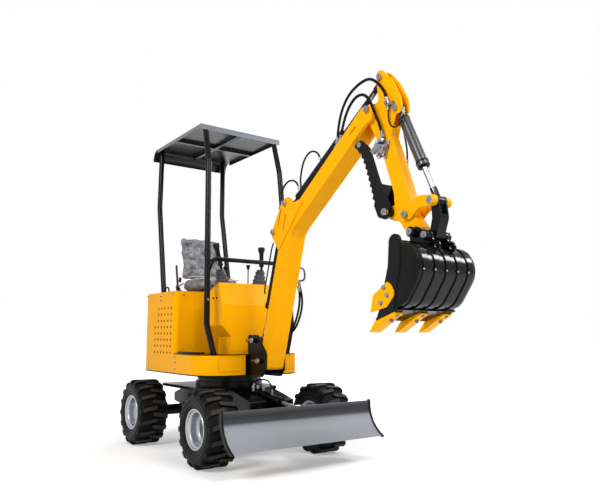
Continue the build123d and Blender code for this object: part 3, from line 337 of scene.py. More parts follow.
# Near black with soft highlights, on chassis, posts and cylinder tubes
BLACK = sprayed_enamel("black_enamel", "#070708", "#100F0F", 0.26, 0.14)
# Newer coat on the bucket, with sharper streaks of light
GLOSS_BLACK = sprayed_enamel("bucket_enamel", "#050505", "#0C0C0C", 0.16, 0.16)
# Canopy top, glossier than the frame's black and a shade paler as a painted reflection of the room
ROOF_BLACK = sprayed_enamel("roof_enamel", "#101113", "#17181A", 0.28, 0.3)
# Edge of the canopy in a mid grey: a painted highlight on its front and side faces
ROOF_EDGE_HIGHLIGHT = sprayed_enamel("roof_edge_painted_highlight", "#62676E", "#757A80", 0.35, 0.5)
BLADE_GREY = blade_enamel()
# Rolled steel under aluminium paint: pale satin with broad highlights
RIM_SILVER = metal("rim_aluminium_paint", "#AEB1B5", 0.32, 1.0, 0.1)
# Charcoal coat of the bucket's cylinder, glossier than the frame's black
BARREL_GREY = sprayed_enamel("cylinder_enamel", "#26282C", "#33363A", 0.24, 0.6)
RUBBER = tyre_rubber()
# Floor of the grooves between the tread bars, darker than their flanks: painted shade
GROOVE_SHADE = moulded("groove_shade_rubber", "#0A0A0A", 0.6, 1.5, 0.2, 0.1)
# Dusty brown tops of the tread bars
WORN = moulded("worn_rubber", "#2E2A27", 0.6, 2.0, 0.3, 0.2)
# Ground and plated rods: the room shows in them as long pale and dark streaks
CHROME = metal("hard_chrome", "#96989C", 0.22, 1.0, 0.06)
# Plated bolts and hose fittings: dull silver, blurred reflections
ZINC = metal("zinc_plate", "#8F9093", 0.3)
# Turned ends of the pivot pins, bare steel
PIN_STEEL = metal("turned_pin_steel", "#8A8C90", 0.32)
# Arm cylinder's rod: dark metal, with one soft streak
DARK_ROD = metal("dark_rod_steel", "#26272A", 0.3)
# Black joystick grips and buckle, matt with a fine pebble
GRIP = moulded("lever_grip_rubber", "#131314", 0.5, 1.2, 0.2, 0.15)
# Gaiters, a dark grey softer than the grips, sheen along each fold
GAITER = moulded("gaiter_rubber", "#3C3D41", 0.42, 1.2, 0.1, 0.4)
# Hose covers: black, low sheen
HOSE_RUBBER = moulded("hose_rubber", "#080808", 0.42, 1.2, 0.2, 0.12)
# Near black and matt: painted shade in the vent holes and the hood's slots
HOLE_SHADE = moulded("hole_shade", "#030303", 0.9, 3.0, 0.6, 0.05)
# Rough cast engine, dark and matt
IRON = moulded("cast_iron", "#1E1E1E", 0.7)
VINYL = seat_vinyl()
# Pale cord sewn into the seat's edges
PIPING = moulded("seat_piping", "#D2D3D6", 0.5)
# Red release button, smooth
BUCKLE_RED = moulded("buckle_plastic", "#D8401C", 0.35, 1.0, 0.05)
# Shadow in a panel's gap, tinted by the yellow either side
GAP = sprayed_enamel("panel_gap_enamel", "#B87400", "#A86A00", 0.5, 0.1)


# ---- making pieces ----------------------------------------------------------------------
def new_piece(name, bm, materials, body, sharp=35.0):
    """Object of a finished bmesh, shaded smooth up to an angle, riding on a CAD body."""
    mesh = bpy.data.meshes.new(name)
    bm.to_mesh(mesh)
    bm.free()
    return piece_of(mesh, name, materials, body, sharp)


def piece_of(mesh, name, materials, body, sharp=35.0):
    """Object of a finished mesh; a body of None leaves it to the caller to say what it rides on."""
    for material in materials if isinstance(materials, list) else [materials]:
        mesh.materials.append(material)
    mesh.polygons.foreach_set("use_smooth", [True] * len(mesh.polygons))
    mesh.set_sharp_from_angle(angle=math.radians(sharp))
    piece = bpy.data.objects.new(name, mesh)
    bpy.context.scene.collection.objects.link(piece)
    if body:
        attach(piece, body)
    return piece


def ease_edges(piece, width, segments=2):
    """Rounds the piece's sharp edges by a width in millimetres."""
    bevel = piece.modifiers.new("eased_edges", "BEVEL")
    bevel.width = width / 1000
    bevel.segments = segments
    bevel.limit_method = "ANGLE"
    bevel.angle_limit = math.radians(40)
    bevel.use_clamp_overlap = False
    bevel.harden_normals = True


def eased(node, materials, width=1.5):
    """A CAD node's shape with its sharp edges eased, standing for that node."""
    bm = bmesh.new()
    bm.from_mesh(nodes[node].data)
    bmesh.ops.remove_doubles(bm, verts=bm.verts, dist=0.00002)
    bmesh.ops.dissolve_limit(bm, angle_limit=math.radians(0.6), verts=bm.verts, edges=bm.edges)
    piece = new_piece(node + "_shell", bm, materials, nodes[node]["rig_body"])
    ease_edges(piece, width)
    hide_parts(node)
    return piece


def paint_where(piece, index, test):
    """Gives the faces whose centre and normal pass a test another of the piece's materials."""
    for face in piece.data.polygons:
        if test(face.center, face.normal):
            face.material_index = index


def dress(node, material):
    """Gives a CAD node that keeps its shape its finish."""
    nodes[node].data.materials.clear()
    nodes[node].data.materials.append(material)


def facing(direction):
    """Turn that brings +Z to a direction."""
    return Vector((0, 0, 1)).rotation_difference(Vector(direction)).to_matrix().to_4x4()


def turned(bm, profile, origin, direction, steps=32, closed=False):
    """Adds a shape turned about a line, from rows of (radius, height along it) in millimetres."""
    before = set(bm.verts)
    ring = [bm.verts.new((radius / 1000, 0.0, height / 1000)) for radius, height in profile]
    pairs = list(zip(ring, ring[1:])) + ([(ring[-1], ring[0])] if closed else [])
    edges = [bm.edges.new(pair) for pair in pairs]
    bmesh.ops.spin(bm, geom=ring + edges, cent=(0, 0, 0), axis=(0, 0, 1), dvec=(0, 0, 0),
                   angle=2 * math.pi, steps=steps, use_merge=True, use_duplicate=False)
    made = [v for v in bm.verts if v not in before]
    bmesh.ops.remove_doubles(bm, verts=made, dist=0.00001)
    made = [v for v in bm.verts if v not in before]
    faces = list({face for v in made for face in v.link_faces})
    bmesh.ops.recalc_face_normals(bm, faces=faces)
    bmesh.ops.transform(bm, matrix=Matrix.Translation(Vector(origin)) @ facing(direction), verts=made)
    return made


def block(bm, low, high, ease=0.0, turn=0.0):
    """Adds a box between two corners in machine millimetres, edges eased, turned about Y in degrees."""
    low, high = at(*low), at(*high)
    made = bmesh.ops.create_cube(bm, size=1.0)["verts"]
    bmesh.ops.scale(bm, vec=high - low, verts=made)
    if ease:
        edges = list({edge for v in made for edge in v.link_edges})
        made = bmesh.ops.bevel(bm, geom=edges, offset=ease / 1000, segments=2, profile=0.5, affect="EDGES",
                               clamp_overlap=True, material=-1)["verts"]
    matrix = Matrix.Translation((low + high) / 2) @ Matrix.Rotation(math.radians(turn), 4, "Y")
    bmesh.ops.transform(bm, matrix=matrix, verts=made)
    return made


def hexagon(bm, place, direction, flats, height, washer=True):
    """Adds a chamfered hexagon head on its washer; flats and height in millimetres."""
    r = flats / math.sqrt(3)
    base = 0.0
    if washer:
        turned(bm, [(0, 0), (r * 1.3, 0), (r * 1.3, 1.5), (0, 1.5)], place, direction, 20)
        base = 1.4
    turned(bm, [(0, base), (r, base), (r, height - 1), (r - 1, height), (0, height)], place, direction, 6)


def bolts(name, body, rows, material=ZINC):
    """Hexagon heads, from rows of (place, outward direction, width across flats in millimetres)."""
    bm = bmesh.new()
    for place, direction, flats in rows:
        hexagon(bm, place, direction, flats, flats * 0.55 + 1.5)
    return new_piece(name, bm, material, body, 25.0)


def pin_heads(name, body, rows):
    """Turned ends of the pivot pins, from rows of ((x, z), |y| of the end, radius), on both sides."""
    bm = bmesh.new()
    for (x, z), end, radius in rows:
        for side in (-1, 1):
            profile = [(0, -9), (radius, -9), (radius, -1), (radius - 2, 1), (radius * 0.55, 1.4),
                       (radius * 0.5, 0.2), (4, 0.2), (3.4, 5), (2, 6.5), (0, 6.5)]
            turned(bm, profile, at(x, side * end, z), (0, side, 0), 28)
    return new_piece(name, bm, PIN_STEEL, body, 30.0)


def route(name, points):
    """Smooth open line among points in machine millimetres, as a curve."""
    data = bpy.data.curves.new(name, "CURVE")
    data.dimensions = "3D"
    spline = data.splines.new("NURBS")
    spline.points.add(len(points) - 1)
    for point, place in zip(spline.points, points):
        point.co = (*at(*place), 1.0)
    spline.order_u = 3
    spline.use_endpoint_u = True
    data.resolution_u = 12
    curve = bpy.data.objects.new(name, data)
    bpy.context.scene.collection.objects.link(curve)
    return curve


def tube_mesh(curve, radius):
    """Mesh of a round tube along a curve, its ends closed; the curve is used up."""
    curve.data.bevel_depth = radius / 1000
    curve.data.bevel_resolution = 3
    curve.data.use_fill_caps = True
    mesh = bpy.data.meshes.new_from_object(curve)
    mesh.materials.clear()
    bpy.data.objects.remove(curve)
    return mesh


def bent_bar(name, points, radius, material, body):
    """Round bar or pipe bent along a smooth line."""
    return piece_of(tube_mesh(route(name + "_line", points), radius), name, material, body, 60.0)


FITTINGS = {}              # body: rows of (place, direction, hose radius) of its crimped hose ends


def crimp(body, place, direction, radius):
    """Notes a hose end; direction points along the hose, away from the fitting."""
    FITTINGS.setdefault(body, []).append((Vector(place), Vector(direction), radius))


def hose(name, points, radius, start_body, end_body, guard=False):
    """Hydraulic hose with a crimped fitting at each end; a hose between two bodies is left on neither."""
    curve = route(name + "_line", points)
    line_mesh = bpy.data.meshes.new_from_object(curve)
    line = [v.co.copy() for v in line_mesh.vertices]
    bpy.data.meshes.remove(line_mesh)
    piece = piece_of(tube_mesh(curve, radius), name, HOSE_RUBBER, None, 60.0)
    along = []
    if guard:
        bm = bmesh.new()
        for a, b in zip(line, line[1:]):
            turned(bm, [(radius - 0.5, -2.2), (radius + 1.3, -1.2), (radius + 1.3, 1.2), (radius - 0.5, 2.2)],
                   (a + b) / 2, b - a, 12, closed=True)
        along.append(new_piece(name + "_guard", bm, HOSE_RUBBER, None, 50.0))
    for part in [piece] + along:
        if start_body == end_body:
            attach(part, start_body)
        else:
            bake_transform(part)
    crimp(start_body, line[0], line[1] - line[0], radius)
    crimp(end_body, line[-1], line[-2] - line[-1], radius)
    return piece


def fit_hose_ends():
    """Silver crimps and hexagon swivels on every hose end, one piece for each body."""
    for body, rows in FITTINGS.items():
        bm = bmesh.new()
        for place, direction, radius in rows:
            r = radius + 2.2
            profile = [(radius - 1, -3), (r, -3), (r, 3)]
            for foot in (4, 9, 14, 19):
                profile += [(r + 0.8, foot), (r + 0.8, foot + 2), (r - 0.4, foot + 3), (r - 0.4, foot + 4)]
            turned(bm, profile + [(r - 0.4, 25), (radius - 1, 26)], place, direction, 20)
            hexagon(bm, place, -direction, 2 * radius + 8, 11, washer=False)
        new_piece(f"hose_ends_{body}", bm, ZINC, body, 30.0)


place_camera()
light_the_studio()
lay_floor()


# ---- cords first: the hydraulic hoses ---------------------------------------------------
hose("hose_arm_long", [(1290, -46, 1876), (1302, -46, 1990), (1368, -45, 2108), (1462, -42, 2158),
                       (1562, -42, 2166), (1636, -46, 2110), (1688, -46, 2040), (1702, -47, 1986)], 7,
     "boom", "arm", guard=True)
hose("hose_arm_short", [(1318, -47, 1884), (1342, -48, 1955), (1392, -52, 2040), (1470, -58, 2088),
                        (1550, -66, 2072), (1602, -72, 2010), (1632, -72, 1940), (1658, -60, 1868),
                        (1664, -50, 1812)], 7, "boom", "arm", guard=True)
hose("hose_bucket_cylinder", [(1706, -46, 1962), (1706, -45, 1884), (1716, -43, 1855), (1741, -42, 1836),
                              (1771, -40, 1836), (1796, -39, 1855), (1806, -37, 1884), (1806, -36, 1914)], 4,
     "arm", "arm")
hose("hose_boom_elbow", [(722, -36, 1604), (710, -38, 1665), (724, -34, 1722), (775, -28, 1758),
                         (838, -22, 1748), (874, -18, 1704), (880, -16, 1676)], 6,
     "boom", "arm_cylinder_barrel")
hose("hose_arm_cylinder", [(862, 18, 1668), (844, 14, 1730), (868, 6, 1806), (908, 0, 1872), (970, 0, 1910),
                           (1044, 0, 1886), (1074, -2, 1838), (1074, -4, 1818)], 6,
     "arm_cylinder_barrel", "arm_cylinder_barrel")
for number, shift in ((1, 0), (2, 17)):
    hose(f"hose_boom_foot_{number}", [
        (462 - shift, 96, 672), (466 - shift, 100, 724), (536 - shift, 102 + shift, 768),
        (632, 100 + shift, 806), (686 + shift / 2, 100 + shift, 884), (720 + shift / 2, 98 + shift, 968),
        (738, 88 + shift, 1040), (742, 78, 1084 + 2 * shift)], 7, "upper", "boom")
hose("hose_arm_far_side", [(1690, 38, 1940), (1716, 44, 1880), (1728, 46, 1820), (1741, 46, 1760),
                           (1752, 42, 1700), (1750, 36, 1650)], 5, "arm", "arm")
hose("hose_blade_cylinder", [(404, -46, 452), (404, -42, 460), (411, -37, 478), (429, -33, 492),
                             (454, -28, 498), (514, -24, 498), (540, -19, 492), (559, -15, 476),
                             (566, -10, 454), (566, -6, 414)], 5, "chassis", "blade_cylinder_barrel")
fit_hose_ends()


# ---- wheels -----------------------------------------------------------------------------
TYRE_R = 228.6
TYRE_HALF = 104.0          # half of the tread's width
LUG_T = 14.0               # height of a tread bar above its groove
LUG_ROOT = 9.0             # how deep its root goes into the carcass
LUG_W = 31.0
LUG_REACH = 16.0           # how far it passes the tyre's middle
LUG_ROUND = 12.0           # rounding of its inner end
LUG_TAPER = 0.88           # thickness of its top against its root
LUG_SWEEP = 24.0           # how far its outer end trails the middle
LUG_HOOK = 9.0             # turn back of its inner end
LUG_DROP = 34.0            # how far it falls over the shoulder
LUG_COUNT = 32
SHOULDER = 27.0            # stretch over which it bends down the sidewall
SHOULDER_CUTS = (0.0, 0.35, 0.6, 0.8, 0.93)
GROOVE_FROM, GROOVE_TO = 0.199, 0.2158  # radii in metres between which the groove's floor takes the painted shade
WORN_FROM = 0.2245         # radius in metres where a bar's worn top starts
SIDEWALL = [  # radius, half width: one side of the carcass, from the bead to the tread's middle
    (111, 73), (113, 84), (118, 90), (128, 95), (146, 100), (149, 102), (153, 102), (156, 101),
    (170, 103), (172, 105), (176, 105), (178, 103.4), (187, 102.4), (198, 98), (207, 90), (212, 80),
    (214.6, 62), (215, 20),
]
RIM = [  # radius, height toward the outer face
    (120, 90), (120.6, 93), (119, 95), (114, 95), (111.5, 93), (109, 85), (104, 81), (99, 79.5),
    (96.5, 76), (95, 66), (94, 42), (91, 34), (86, 30), (79, 29), (75, 25), (73, 16), (72, -10),
    (69, -28), (63, -38), (55, -43), (50, -50), (46, -55), (30, -56), (30, -62), (58, -62), (66, -50),
    (74, -44), (80, -46), (90, -60), (96, -78), (106, -93), (111, -95), (119, -95), (120, -91),
    (112, -73), (112, 73),
]
NUTS = 5
NUT_RING = 40.0            # radius on which the nuts stand
NUT_SEAT = -0.056          # their seat's place along the axle, in metres outward
NUT_FLATS = 17


def lug_mesh(side):
    """One tread bar at the top of the tyre: rounded past the middle, bent down over the shoulder."""
    bm = bmesh.new()
    made = bmesh.ops.create_cube(bm, size=1.0)["verts"]
    low = Vector((-LUG_W / 2, -LUG_REACH, TYRE_R - LUG_T - LUG_ROOT))
    high = Vector((LUG_W / 2, TYRE_HALF - 2, TYRE_R))
    bmesh.ops.scale(bm, vec=high - low, verts=made)
    bmesh.ops.translate(bm, vec=(low + high) / 2, verts=made)
    inner = [e for e in bm.edges if all(v.co.y < 0 for v in e.verts) and
             abs(e.verts[0].co.z - e.verts[1].co.z) > 1]
    bmesh.ops.bevel(bm, geom=inner, offset=LUG_ROUND, segments=3, profile=0.5, affect="EDGES", material=-1)
    for cut in SHOULDER_CUTS:
        bmesh.ops.bisect_plane(bm, geom=bm.verts[:] + bm.edges[:] + bm.faces[:], dist=0.001,
                               plane_co=(0, TYRE_HALF - SHOULDER * (1 - cut), 0), plane_no=(0, 1, 0))
    for v in bm.verts:
        bend = min(max((v.co.y - TYRE_HALF + SHOULDER) / (SHOULDER - 1), 0.0), 1.0)
        if v.co.z > TYRE_R - 1:
            v.co.x *= LUG_TAPER
        along = v.co.y / TYRE_HALF
        v.co.x += LUG_SWEEP * along * abs(along) - LUG_HOOK * max(0.0, 0.1 - along)
        v.co.z -= LUG_DROP * (1 - math.sqrt(1 - bend * bend * 0.98))
    bmesh.ops.scale(bm, vec=(0.001, 0.001 * side, 0.001), verts=bm.verts)
    bmesh.ops.recalc_face_normals(bm, faces=bm.faces)
    mesh = bpy.data.meshes.new("lug")
    bm.to_mesh(mesh)
    bm.free()
    return mesh


def stamp(bm, mesh, matrix):
    """Adds a copy of a mesh, moved by a matrix."""
    count = len(bm.verts)
    bm.from_mesh(mesh)
    bm.verts.ensure_lookup_table()
    bmesh.ops.transform(bm, matrix=matrix, verts=bm.verts[count:])


def tyre(name, centre, body):
    """Carcass turned from its section, with bars that lean to either side in turn."""
    def from_hub(place):
        return math.hypot(place.x - centre.x, place.z - centre.z)

    def on_bar_top(place, normal):
        return (from_hub(place) > WORN_FROM and abs(normal.y) < 0.5 and
                normal.dot((place - centre).normalized()) > 0.7)

    bm = bmesh.new()
    ring = SIDEWALL + [(r, -y) for r, y in reversed(SIDEWALL)]
    turned(bm, ring, centre, (0, 1, 0), 72, closed=True)
    lugs = [lug_mesh(1), lug_mesh(-1)]
    for i in range(LUG_COUNT):
        turn = Matrix.Rotation(2 * math.pi * i / LUG_COUNT, 4, "Y")
        stamp(bm, lugs[i % 2], Matrix.Translation(centre) @ turn)
    for mesh in lugs:
        bpy.data.meshes.remove(mesh)
    piece = new_piece(name, bm, [RUBBER, GROOVE_SHADE, WORN], body, 40.0)
    # painted shade on the floor of the grooves
    paint_where(piece, 1, lambda place, normal: GROOVE_FROM < from_hub(place) < GROOVE_TO)
    paint_where(piece, 2, on_bar_top)
    ease_edges(piece, 2.5)
    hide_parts(name.replace("_tread", ""))


def rim(end, side, centre, body):
    """Pressed steel rim with its deep well and dished middle, and its ring of nuts."""
    out = Vector((0, 1 if side == "left" else -1, 0))
    bm = bmesh.new()
    turned(bm, RIM, centre, out, 64, closed=True)
    piece = new_piece(f"rim_{end}_{side}_pressing", bm, RIM_SILVER, body, 28.0)
    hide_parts(f"rim_{end}_{side}")
    rows = []
    for i in range(NUTS):
        turn = 2 * math.pi * i / NUTS
        seat = Vector((math.sin(turn), 0, math.cos(turn))) * NUT_RING / 1000 + out * NUT_SEAT
        rows.append((centre + seat, out, NUT_FLATS))
    bolts(f"wheel_nuts_{end}_{side}", body, rows)


for end in ("front", "rear"):
    for side in ("left", "right"):
        low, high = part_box(f"tyre_{end}_{side}")
        tyre(f"tyre_{end}_{side}_tread", (low + high) / 2, f"wheel_{end}_{side}")
        rim(end, side, (low + high) / 2, f"wheel_{end}_{side}")


# ---- painted steelwork ------------------------------------------------------------------
def place_of(joint_name):
    """(x, z) of a joint's pin in machine millimetres."""
    where = pin(joint_name)
    return ((where.x - SLEW_X) * 1000, where.z * 1000)


FOOT = place_of("boom_swing")
BOOM_CYL_TOP = place_of("boom_cylinder_barrel_swing")
ARM_CYL_BASE = place_of("arm_cylinder_barrel_swing")
ARM_PIVOT = place_of("arm_swing")
BUCKET_CYL_BASE = place_of("bucket_cylinder_barrel_swing")
ROCKER_PIVOT = place_of("rocker_swing")
ROCKER_EYE = place_of("link_swing")
BUCKET_PIN = place_of("bucket_curl")
THUMB_PIVOT = place_of("thumb_swing")
BOOM_CYL_BASE = (462.0, 747.0)      # (x, z) of the pins on which no joint of the model turns
ARM_CYL_EYE = (1637.0, 2145.0)
LINK_PIN = (1960.0, 1248.0)
BLADE_CYL_BASE = (400.0, 412.0)
BLADE_CYL_EYE = (833.0, 340.0)

YELLOW_NODES = ["skirt", "hood_right", "hood_left", "hood_rear", "hood_front", "hood_top", "console", "boom",
                "arm", "rocker", "bucket_teeth"]
BLACK_NODES = ["chassis_frame", "slewing_ring", "front_axle", "rear_axle", "knuckle_left", "knuckle_right",
               "tie_rod", "turntable", "floor_plate", "boom_bracket", "seat_base", "front_posts",
               "rear_posts", "handrail", "bucket_link", "thumb", "boom_cylinder_barrel",
               "arm_cylinder_barrel", "blade_cylinder_barrel"]
BLADE_INNER = 0.531        # |y| of the inner faces of the blade's end bars, in metres
BLADE_FRONT = 830          # x in front of which the blade's plate faces the ground it pushes
ROD_EYE_R = 0.062          # reach of the black eye at the end of the bucket cylinder's rod, in metres

for node in YELLOW_NODES:
    eased(node, YELLOW)
for node in BLACK_NODES:
    eased(node, BLACK)
eased("bucket", GLOSS_BLACK)
eased("bucket_cylinder_barrel", BARREL_GREY)


def paint_blade():
    """Black blade with its pushing face and top edge grey."""
    blade = eased("blade", [BLACK, BLADE_GREY])
    paint_where(blade, 1, lambda centre, normal: abs(centre.y) < BLADE_INNER and
                centre.x > at(BLADE_FRONT, 0, 0).x and (normal.x > 0.3 or normal.z > 0.9))


def paint_roof():
    """Black roof with a painted highlight strip along its front and side edges."""
    roof = eased("canopy_roof", [ROOF_BLACK, ROOF_EDGE_HIGHLIGHT])
    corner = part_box("canopy_roof")[1]
    paint_where(roof, 1, lambda centre, normal: (normal.x > 0.7 and centre.x > corner.x - 0.004) or
                (abs(normal.y) > 0.7 and abs(centre.y) > corner.y - 0.002))


def paint_rods():
    """Chrome cylinder rods, the arm's darker one, and the bucket's with its eye painted black."""
    for name in ("blade", "boom"):
        dress(f"{name}_cylinder_rod", CHROME)
    dress("arm_cylinder_rod", DARK_ROD)
    rod = eased("bucket_cylinder_rod", [CHROME, BLACK], 0.6)
    eye = at(ROCKER_EYE[0], 0, ROCKER_EYE[1])
    paint_where(rod, 1, lambda centre, normal: (centre - eye).length < ROD_EYE_R)


paint_blade()
paint_roof()
paint_rods()
dress("engine_block", IRON)


# ---- pins, bolts and small fittings -----------------------------------------------------
SIDES = ((-1, "right"), (1, "left"))

pin_heads("bracket_pins", "upper", [(FOOT, 104, 19), (BOOM_CYL_BASE, 104, 18)])
pin_heads("boom_pins", "boom", [(BOOM_CYL_TOP, 87, 17), (ARM_CYL_BASE, 87, 17), (ARM_PIVOT, 76, 19)])
pin_heads("arm_pins", "arm", [(BUCKET_CYL_BASE, 47, 17), (ARM_CYL_EYE, 47, 17), (ROCKER_PIVOT, 63, 18),
                              (THUMB_PIVOT, 69, 19)])
pin_heads("rocker_pins", "rocker", [(ROCKER_EYE, 69, 19)])
pin_heads("bucket_pins", "bucket", [(BUCKET_PIN, 93, 18), (LINK_PIN, 85, 18)])


def thumb_tip_pin():
    bm = bmesh.new()
    turned(bm, [(0, 0), (16, 0), (16, 5), (14, 7), (0, 7)], at(1480, -47, 1808), (0, -1, 0), 28)
    new_piece("thumb_tip_pin", bm, PIN_STEEL, "thumb", 30.0)


def pin_keeper(word, pin_place, lean):
    """Bent rod that keeps a bracket pin from turning; lean lowers its loop, in millimetres."""
    x, z = pin_place
    bent_bar(f"pin_keeper_{word}", [(x - 2, -101, z), (x - 30, -103, z + 6 + lean),
                                    (x - 62, -100, z + 12 + lean), (x - 76, -92, z - 2 + lean),
                                    (x - 76, -84, z - 10 + lean)], 4.5, ZINC, "upper")


def side_bolts(name, body, places, y, flats, material=ZINC):
    """Hexagon heads facing sideways, at (x, z) places on the plane y."""
    rows = [(at(x, y, z), (0, 1 if y > 0 else -1, 0), flats) for x, z in places]
    return bolts(name, body, rows, material)


def cover_bolts(side, word):
    """Bolts of the hood, console and bucket cutters on one side of the machine."""
    seam = [(-56, 634), (-52, 600), (-52, 552), (-112, 1070), (-560, 1070)]
    side_bolts(f"seam_bolts_{word}", "upper", seam, side * 398, 10)
    side_bolts(f"console_bolts_{word}", "upper", [(175, 1032), (222, 1032)], side * 230, 10, BLACK)
    side_bolts(f"cutter_bolts_{word}", "bucket", [(1817, 1004), (1838, 966), (1796, 932)], side * 206, 17)
    bolts(f"hood_front_bolts_{word}", "upper", [(at(-80, side * 330, 1060), (1, 0, 0), 10)])


def tooth_bolts():
    """Two bolts under each of the three teeth, square to the sloping lip."""
    rows = [(at(x, tooth * 168, z), (0.5, 0, -0.87), 15)
            for tooth in (-1, 0, 1) for x, z in ((1863, 876), (1826, 850))]
    bolts("tooth_bolts", "bucket", rows)


def post_clamp_bolts():
    """Bolts in front of and behind each canopy post's foot."""
    rows = [(at(276 + ahead * 18, side * 333, 1014), (ahead, 0, 0.1), 12)
            for side in (-1, 1) for ahead in (-1, 1)]
    bolts("post_clamp_bolts", "upper", rows)


def rear_panel_bolts():
    rows = [(at(-600, y, z), (-1, 0, 0), 10) for y in (-340, 340) for z in (560, 760, 1040)]
    bolts("rear_panel_bolts", "upper", rows)


def post_sleeves():
    """Black sleeves round the front posts, along their lean."""
    bm = bmesh.new()
    for side in (-1, 1):
        turned(bm, [(20.5, -22), (23, -20), (23, 20), (20.5, 22)], at(236, side * 315, 1330),
               (-0.09, side * -0.036, 1), 28, closed=True)
    new_piece("post_sleeves", bm, BLACK, "upper", 40.0)


def hood_slots():
    """Two short slots near the top of each side of the hood, drawn as flush dark strips of painted shade."""
    bm = bmesh.new()
    for side in (-1, 1):
        y0, y1 = sorted((side * 397, side * 398.6))
        for z in (1060, 1031):
            block(bm, (-338, y0, z - 3), (-304, y1, z + 3), 0.7)
    new_piece("hood_slots", bm, HOLE_SHADE, "upper", 40.0)


VENT_X, VENT_Z = -138, 972          # middle of the top front vent hole
VENT_STEP_X, VENT_STEP_Z = 55, 44.5
VENT_R = 8.9
VENT_ROWS = 8
VENT_SHORT_ROWS = 3                 # top rows that have five holes where the others have six


def hole_shade():
    """Dark discs just inside every vent hole: painted shade of the hollow behind."""
    bm = bmesh.new()
    for side in (-1, 1):
        for row in range(VENT_ROWS):
            for column in range(5 if row < VENT_SHORT_ROWS else 6):
                middle = at(VENT_X - VENT_STEP_X * column, side * 397, VENT_Z - VENT_STEP_Z * row)
                turned(bm, [(0, -6), (VENT_R, -6), (VENT_R, -0.8), (0, -0.8)], middle, (0, side, 0), 16)
    new_piece("hole_shade", bm, HOLE_SHADE, "upper", 40.0)


def lifting_loop(side, word):
    """Loop of bar on top of the hood, by which the machine is lifted."""
    y = side * 289
    bent_bar(f"lifting_loop_{word}", [(-500, y, 1090), (-500, y, 1128), (-482, y, 1142), (-452, y, 1142),
                                      (-434, y, 1128), (-434, y, 1090)], 6, BLACK, "upper")


def deck_rail(side, word):
    """Bar bent along the edge of the floor and back."""
    loop = [(232, 322), (150, 352), (40, 362), (-46, 358), (-70, 366), (-46, 378), (40, 384), (160, 376),
            (250, 342)]
    bent_bar(f"deck_rail_{word}", [(x, side * y, 665) for x, y in loop], 6, BLACK, "upper")


thumb_tip_pin()
pin_keeper("upper", BOOM_CYL_BASE, 0)
pin_keeper("lower", FOOT, -6)
for side, word in SIDES:
    cover_bolts(side, word)
tooth_bolts()
post_clamp_bolts()
rear_panel_bolts()
post_sleeves()
hood_slots()
hole_shade()
for side, word in SIDES:
    lifting_loop(side, word)
for side, word in SIDES:
    deck_rail(side, word)


SKIRT_FRONT = 390.0        # x of the skirt's flat front
SKIRT_FLAT = 198.0         # half of the flat front's width
SKIRT_ROUND = 200.0        # radius of the skirt's front corners
PANEL_S = (119.0, 292.0)   # access panel's ends, along the skirt from the middle
PANEL_Z = (548.0, 642.0)
PANEL_ROUND = 12.0
PANEL_LINE_R = 1.1         # drawn 2.2 mm wide, so that the gap shows


def skirt_point(s, z, proud):
    """Point on the skirt's front, s millimetres along it from the middle of the machine toward the right."""
    if s <= SKIRT_FLAT:
        return at(SKIRT_FRONT + proud, -s, z)
    turn = (s - SKIRT_FLAT) / SKIRT_ROUND
    return at(SKIRT_FRONT - SKIRT_ROUND + (SKIRT_ROUND + proud) * math.cos(turn),
              -SKIRT_FLAT - (SKIRT_ROUND + proud) * math.sin(turn), z)


def panel_outline():
    """(s, z) points round the access panel: five on each corner, eleven along each side."""
    (s0, s1), (z0, z1), r = PANEL_S, PANEL_Z, PANEL_ROUND
    corners = [(s0 + r, z0 + r, 180), (s1 - r, z0 + r, 270), (s1 - r, z1 - r, 0), (s0 + r, z1 - r, 90)]
    outline = []
    for (s, z, start), (s_next, z_next, start_next) in zip(corners, corners[1:] + corners[:1]):
        for step in range(5):
            turn = math.radians(start + 90 * step / 4)
            outline.append((s + r * math.cos(turn), z + r * math.sin(turn)))
        last, turn = outline[-1], math.radians(start_next)
        goal = (s_next + r * math.cos(turn), z_next + r * math.sin(turn))
        outline += [(last[0] + (goal[0] - last[0]) * i / 12, last[1] + (goal[1] - last[1]) * i / 12)
                    for i in range(1, 12)]
    return outline


def access_panel(side):
    """Fine line round the access panel in the skirt's front corner; side 1 is the machine's right."""
    data = bpy.data.curves.new("panel_line", "CURVE")
    data.dimensions = "3D"
    outline = panel_outline()
    spline = data.splines.new("POLY")
    spline.points.add(len(outline) - 1)
    for point, (s, z) in zip(spline.points, outline):
        place = skirt_point(s, z, 0.2)
        point.co = (place.x, place.y * side, place.z, 1.0)
    spline.use_cyclic_u = True
    curve = bpy.data.objects.new("panel_line", data)
    bpy.context.scene.collection.objects.link(curve)
    word = "right" if side > 0 else "left"
    piece_of(tube_mesh(curve, PANEL_LINE_R), f"access_panel_line_{word}", GAP, "upper", 60.0)


access_panel(1)
access_panel(-1)


# ---- valve on the arm, cylinder glands, pipes -------------------------------------------
VALVE_TILT = 18            # degrees that the valve turns with the arm
PORT_UP, PORT_DOWN = (-0.31, 0, 0.95), (0.31, 0, -0.95)
PORT_AHEAD, PORT_BACK = (0.95, 0, 0.31), (-0.95, 0, -0.31)
PORT_SIDE = (0, -1, 0)
PORTS = [  # foot, direction, radius, length of the fittings screwed into the valve
    ((1632, -52, 1772), PORT_UP, 11, 26), ((1660, -50, 1780), PORT_UP, 12, 30),
    ((1634, -50, 1716), PORT_DOWN, 11, 22), ((1662, -50, 1722), PORT_DOWN, 10, 20),
    ((1606, -50, 1742), PORT_BACK, 12, 20), ((1604, -50, 1758), PORT_BACK, 8, 30),
    ((1686, -50, 1752), PORT_AHEAD, 9, 14), ((1645, -66, 1745), PORT_SIDE, 12, 10),
    ((1668, -66, 1752), PORT_SIDE, 8, 14), ((1624, -66, 1738), PORT_SIDE, 8, 12),
]


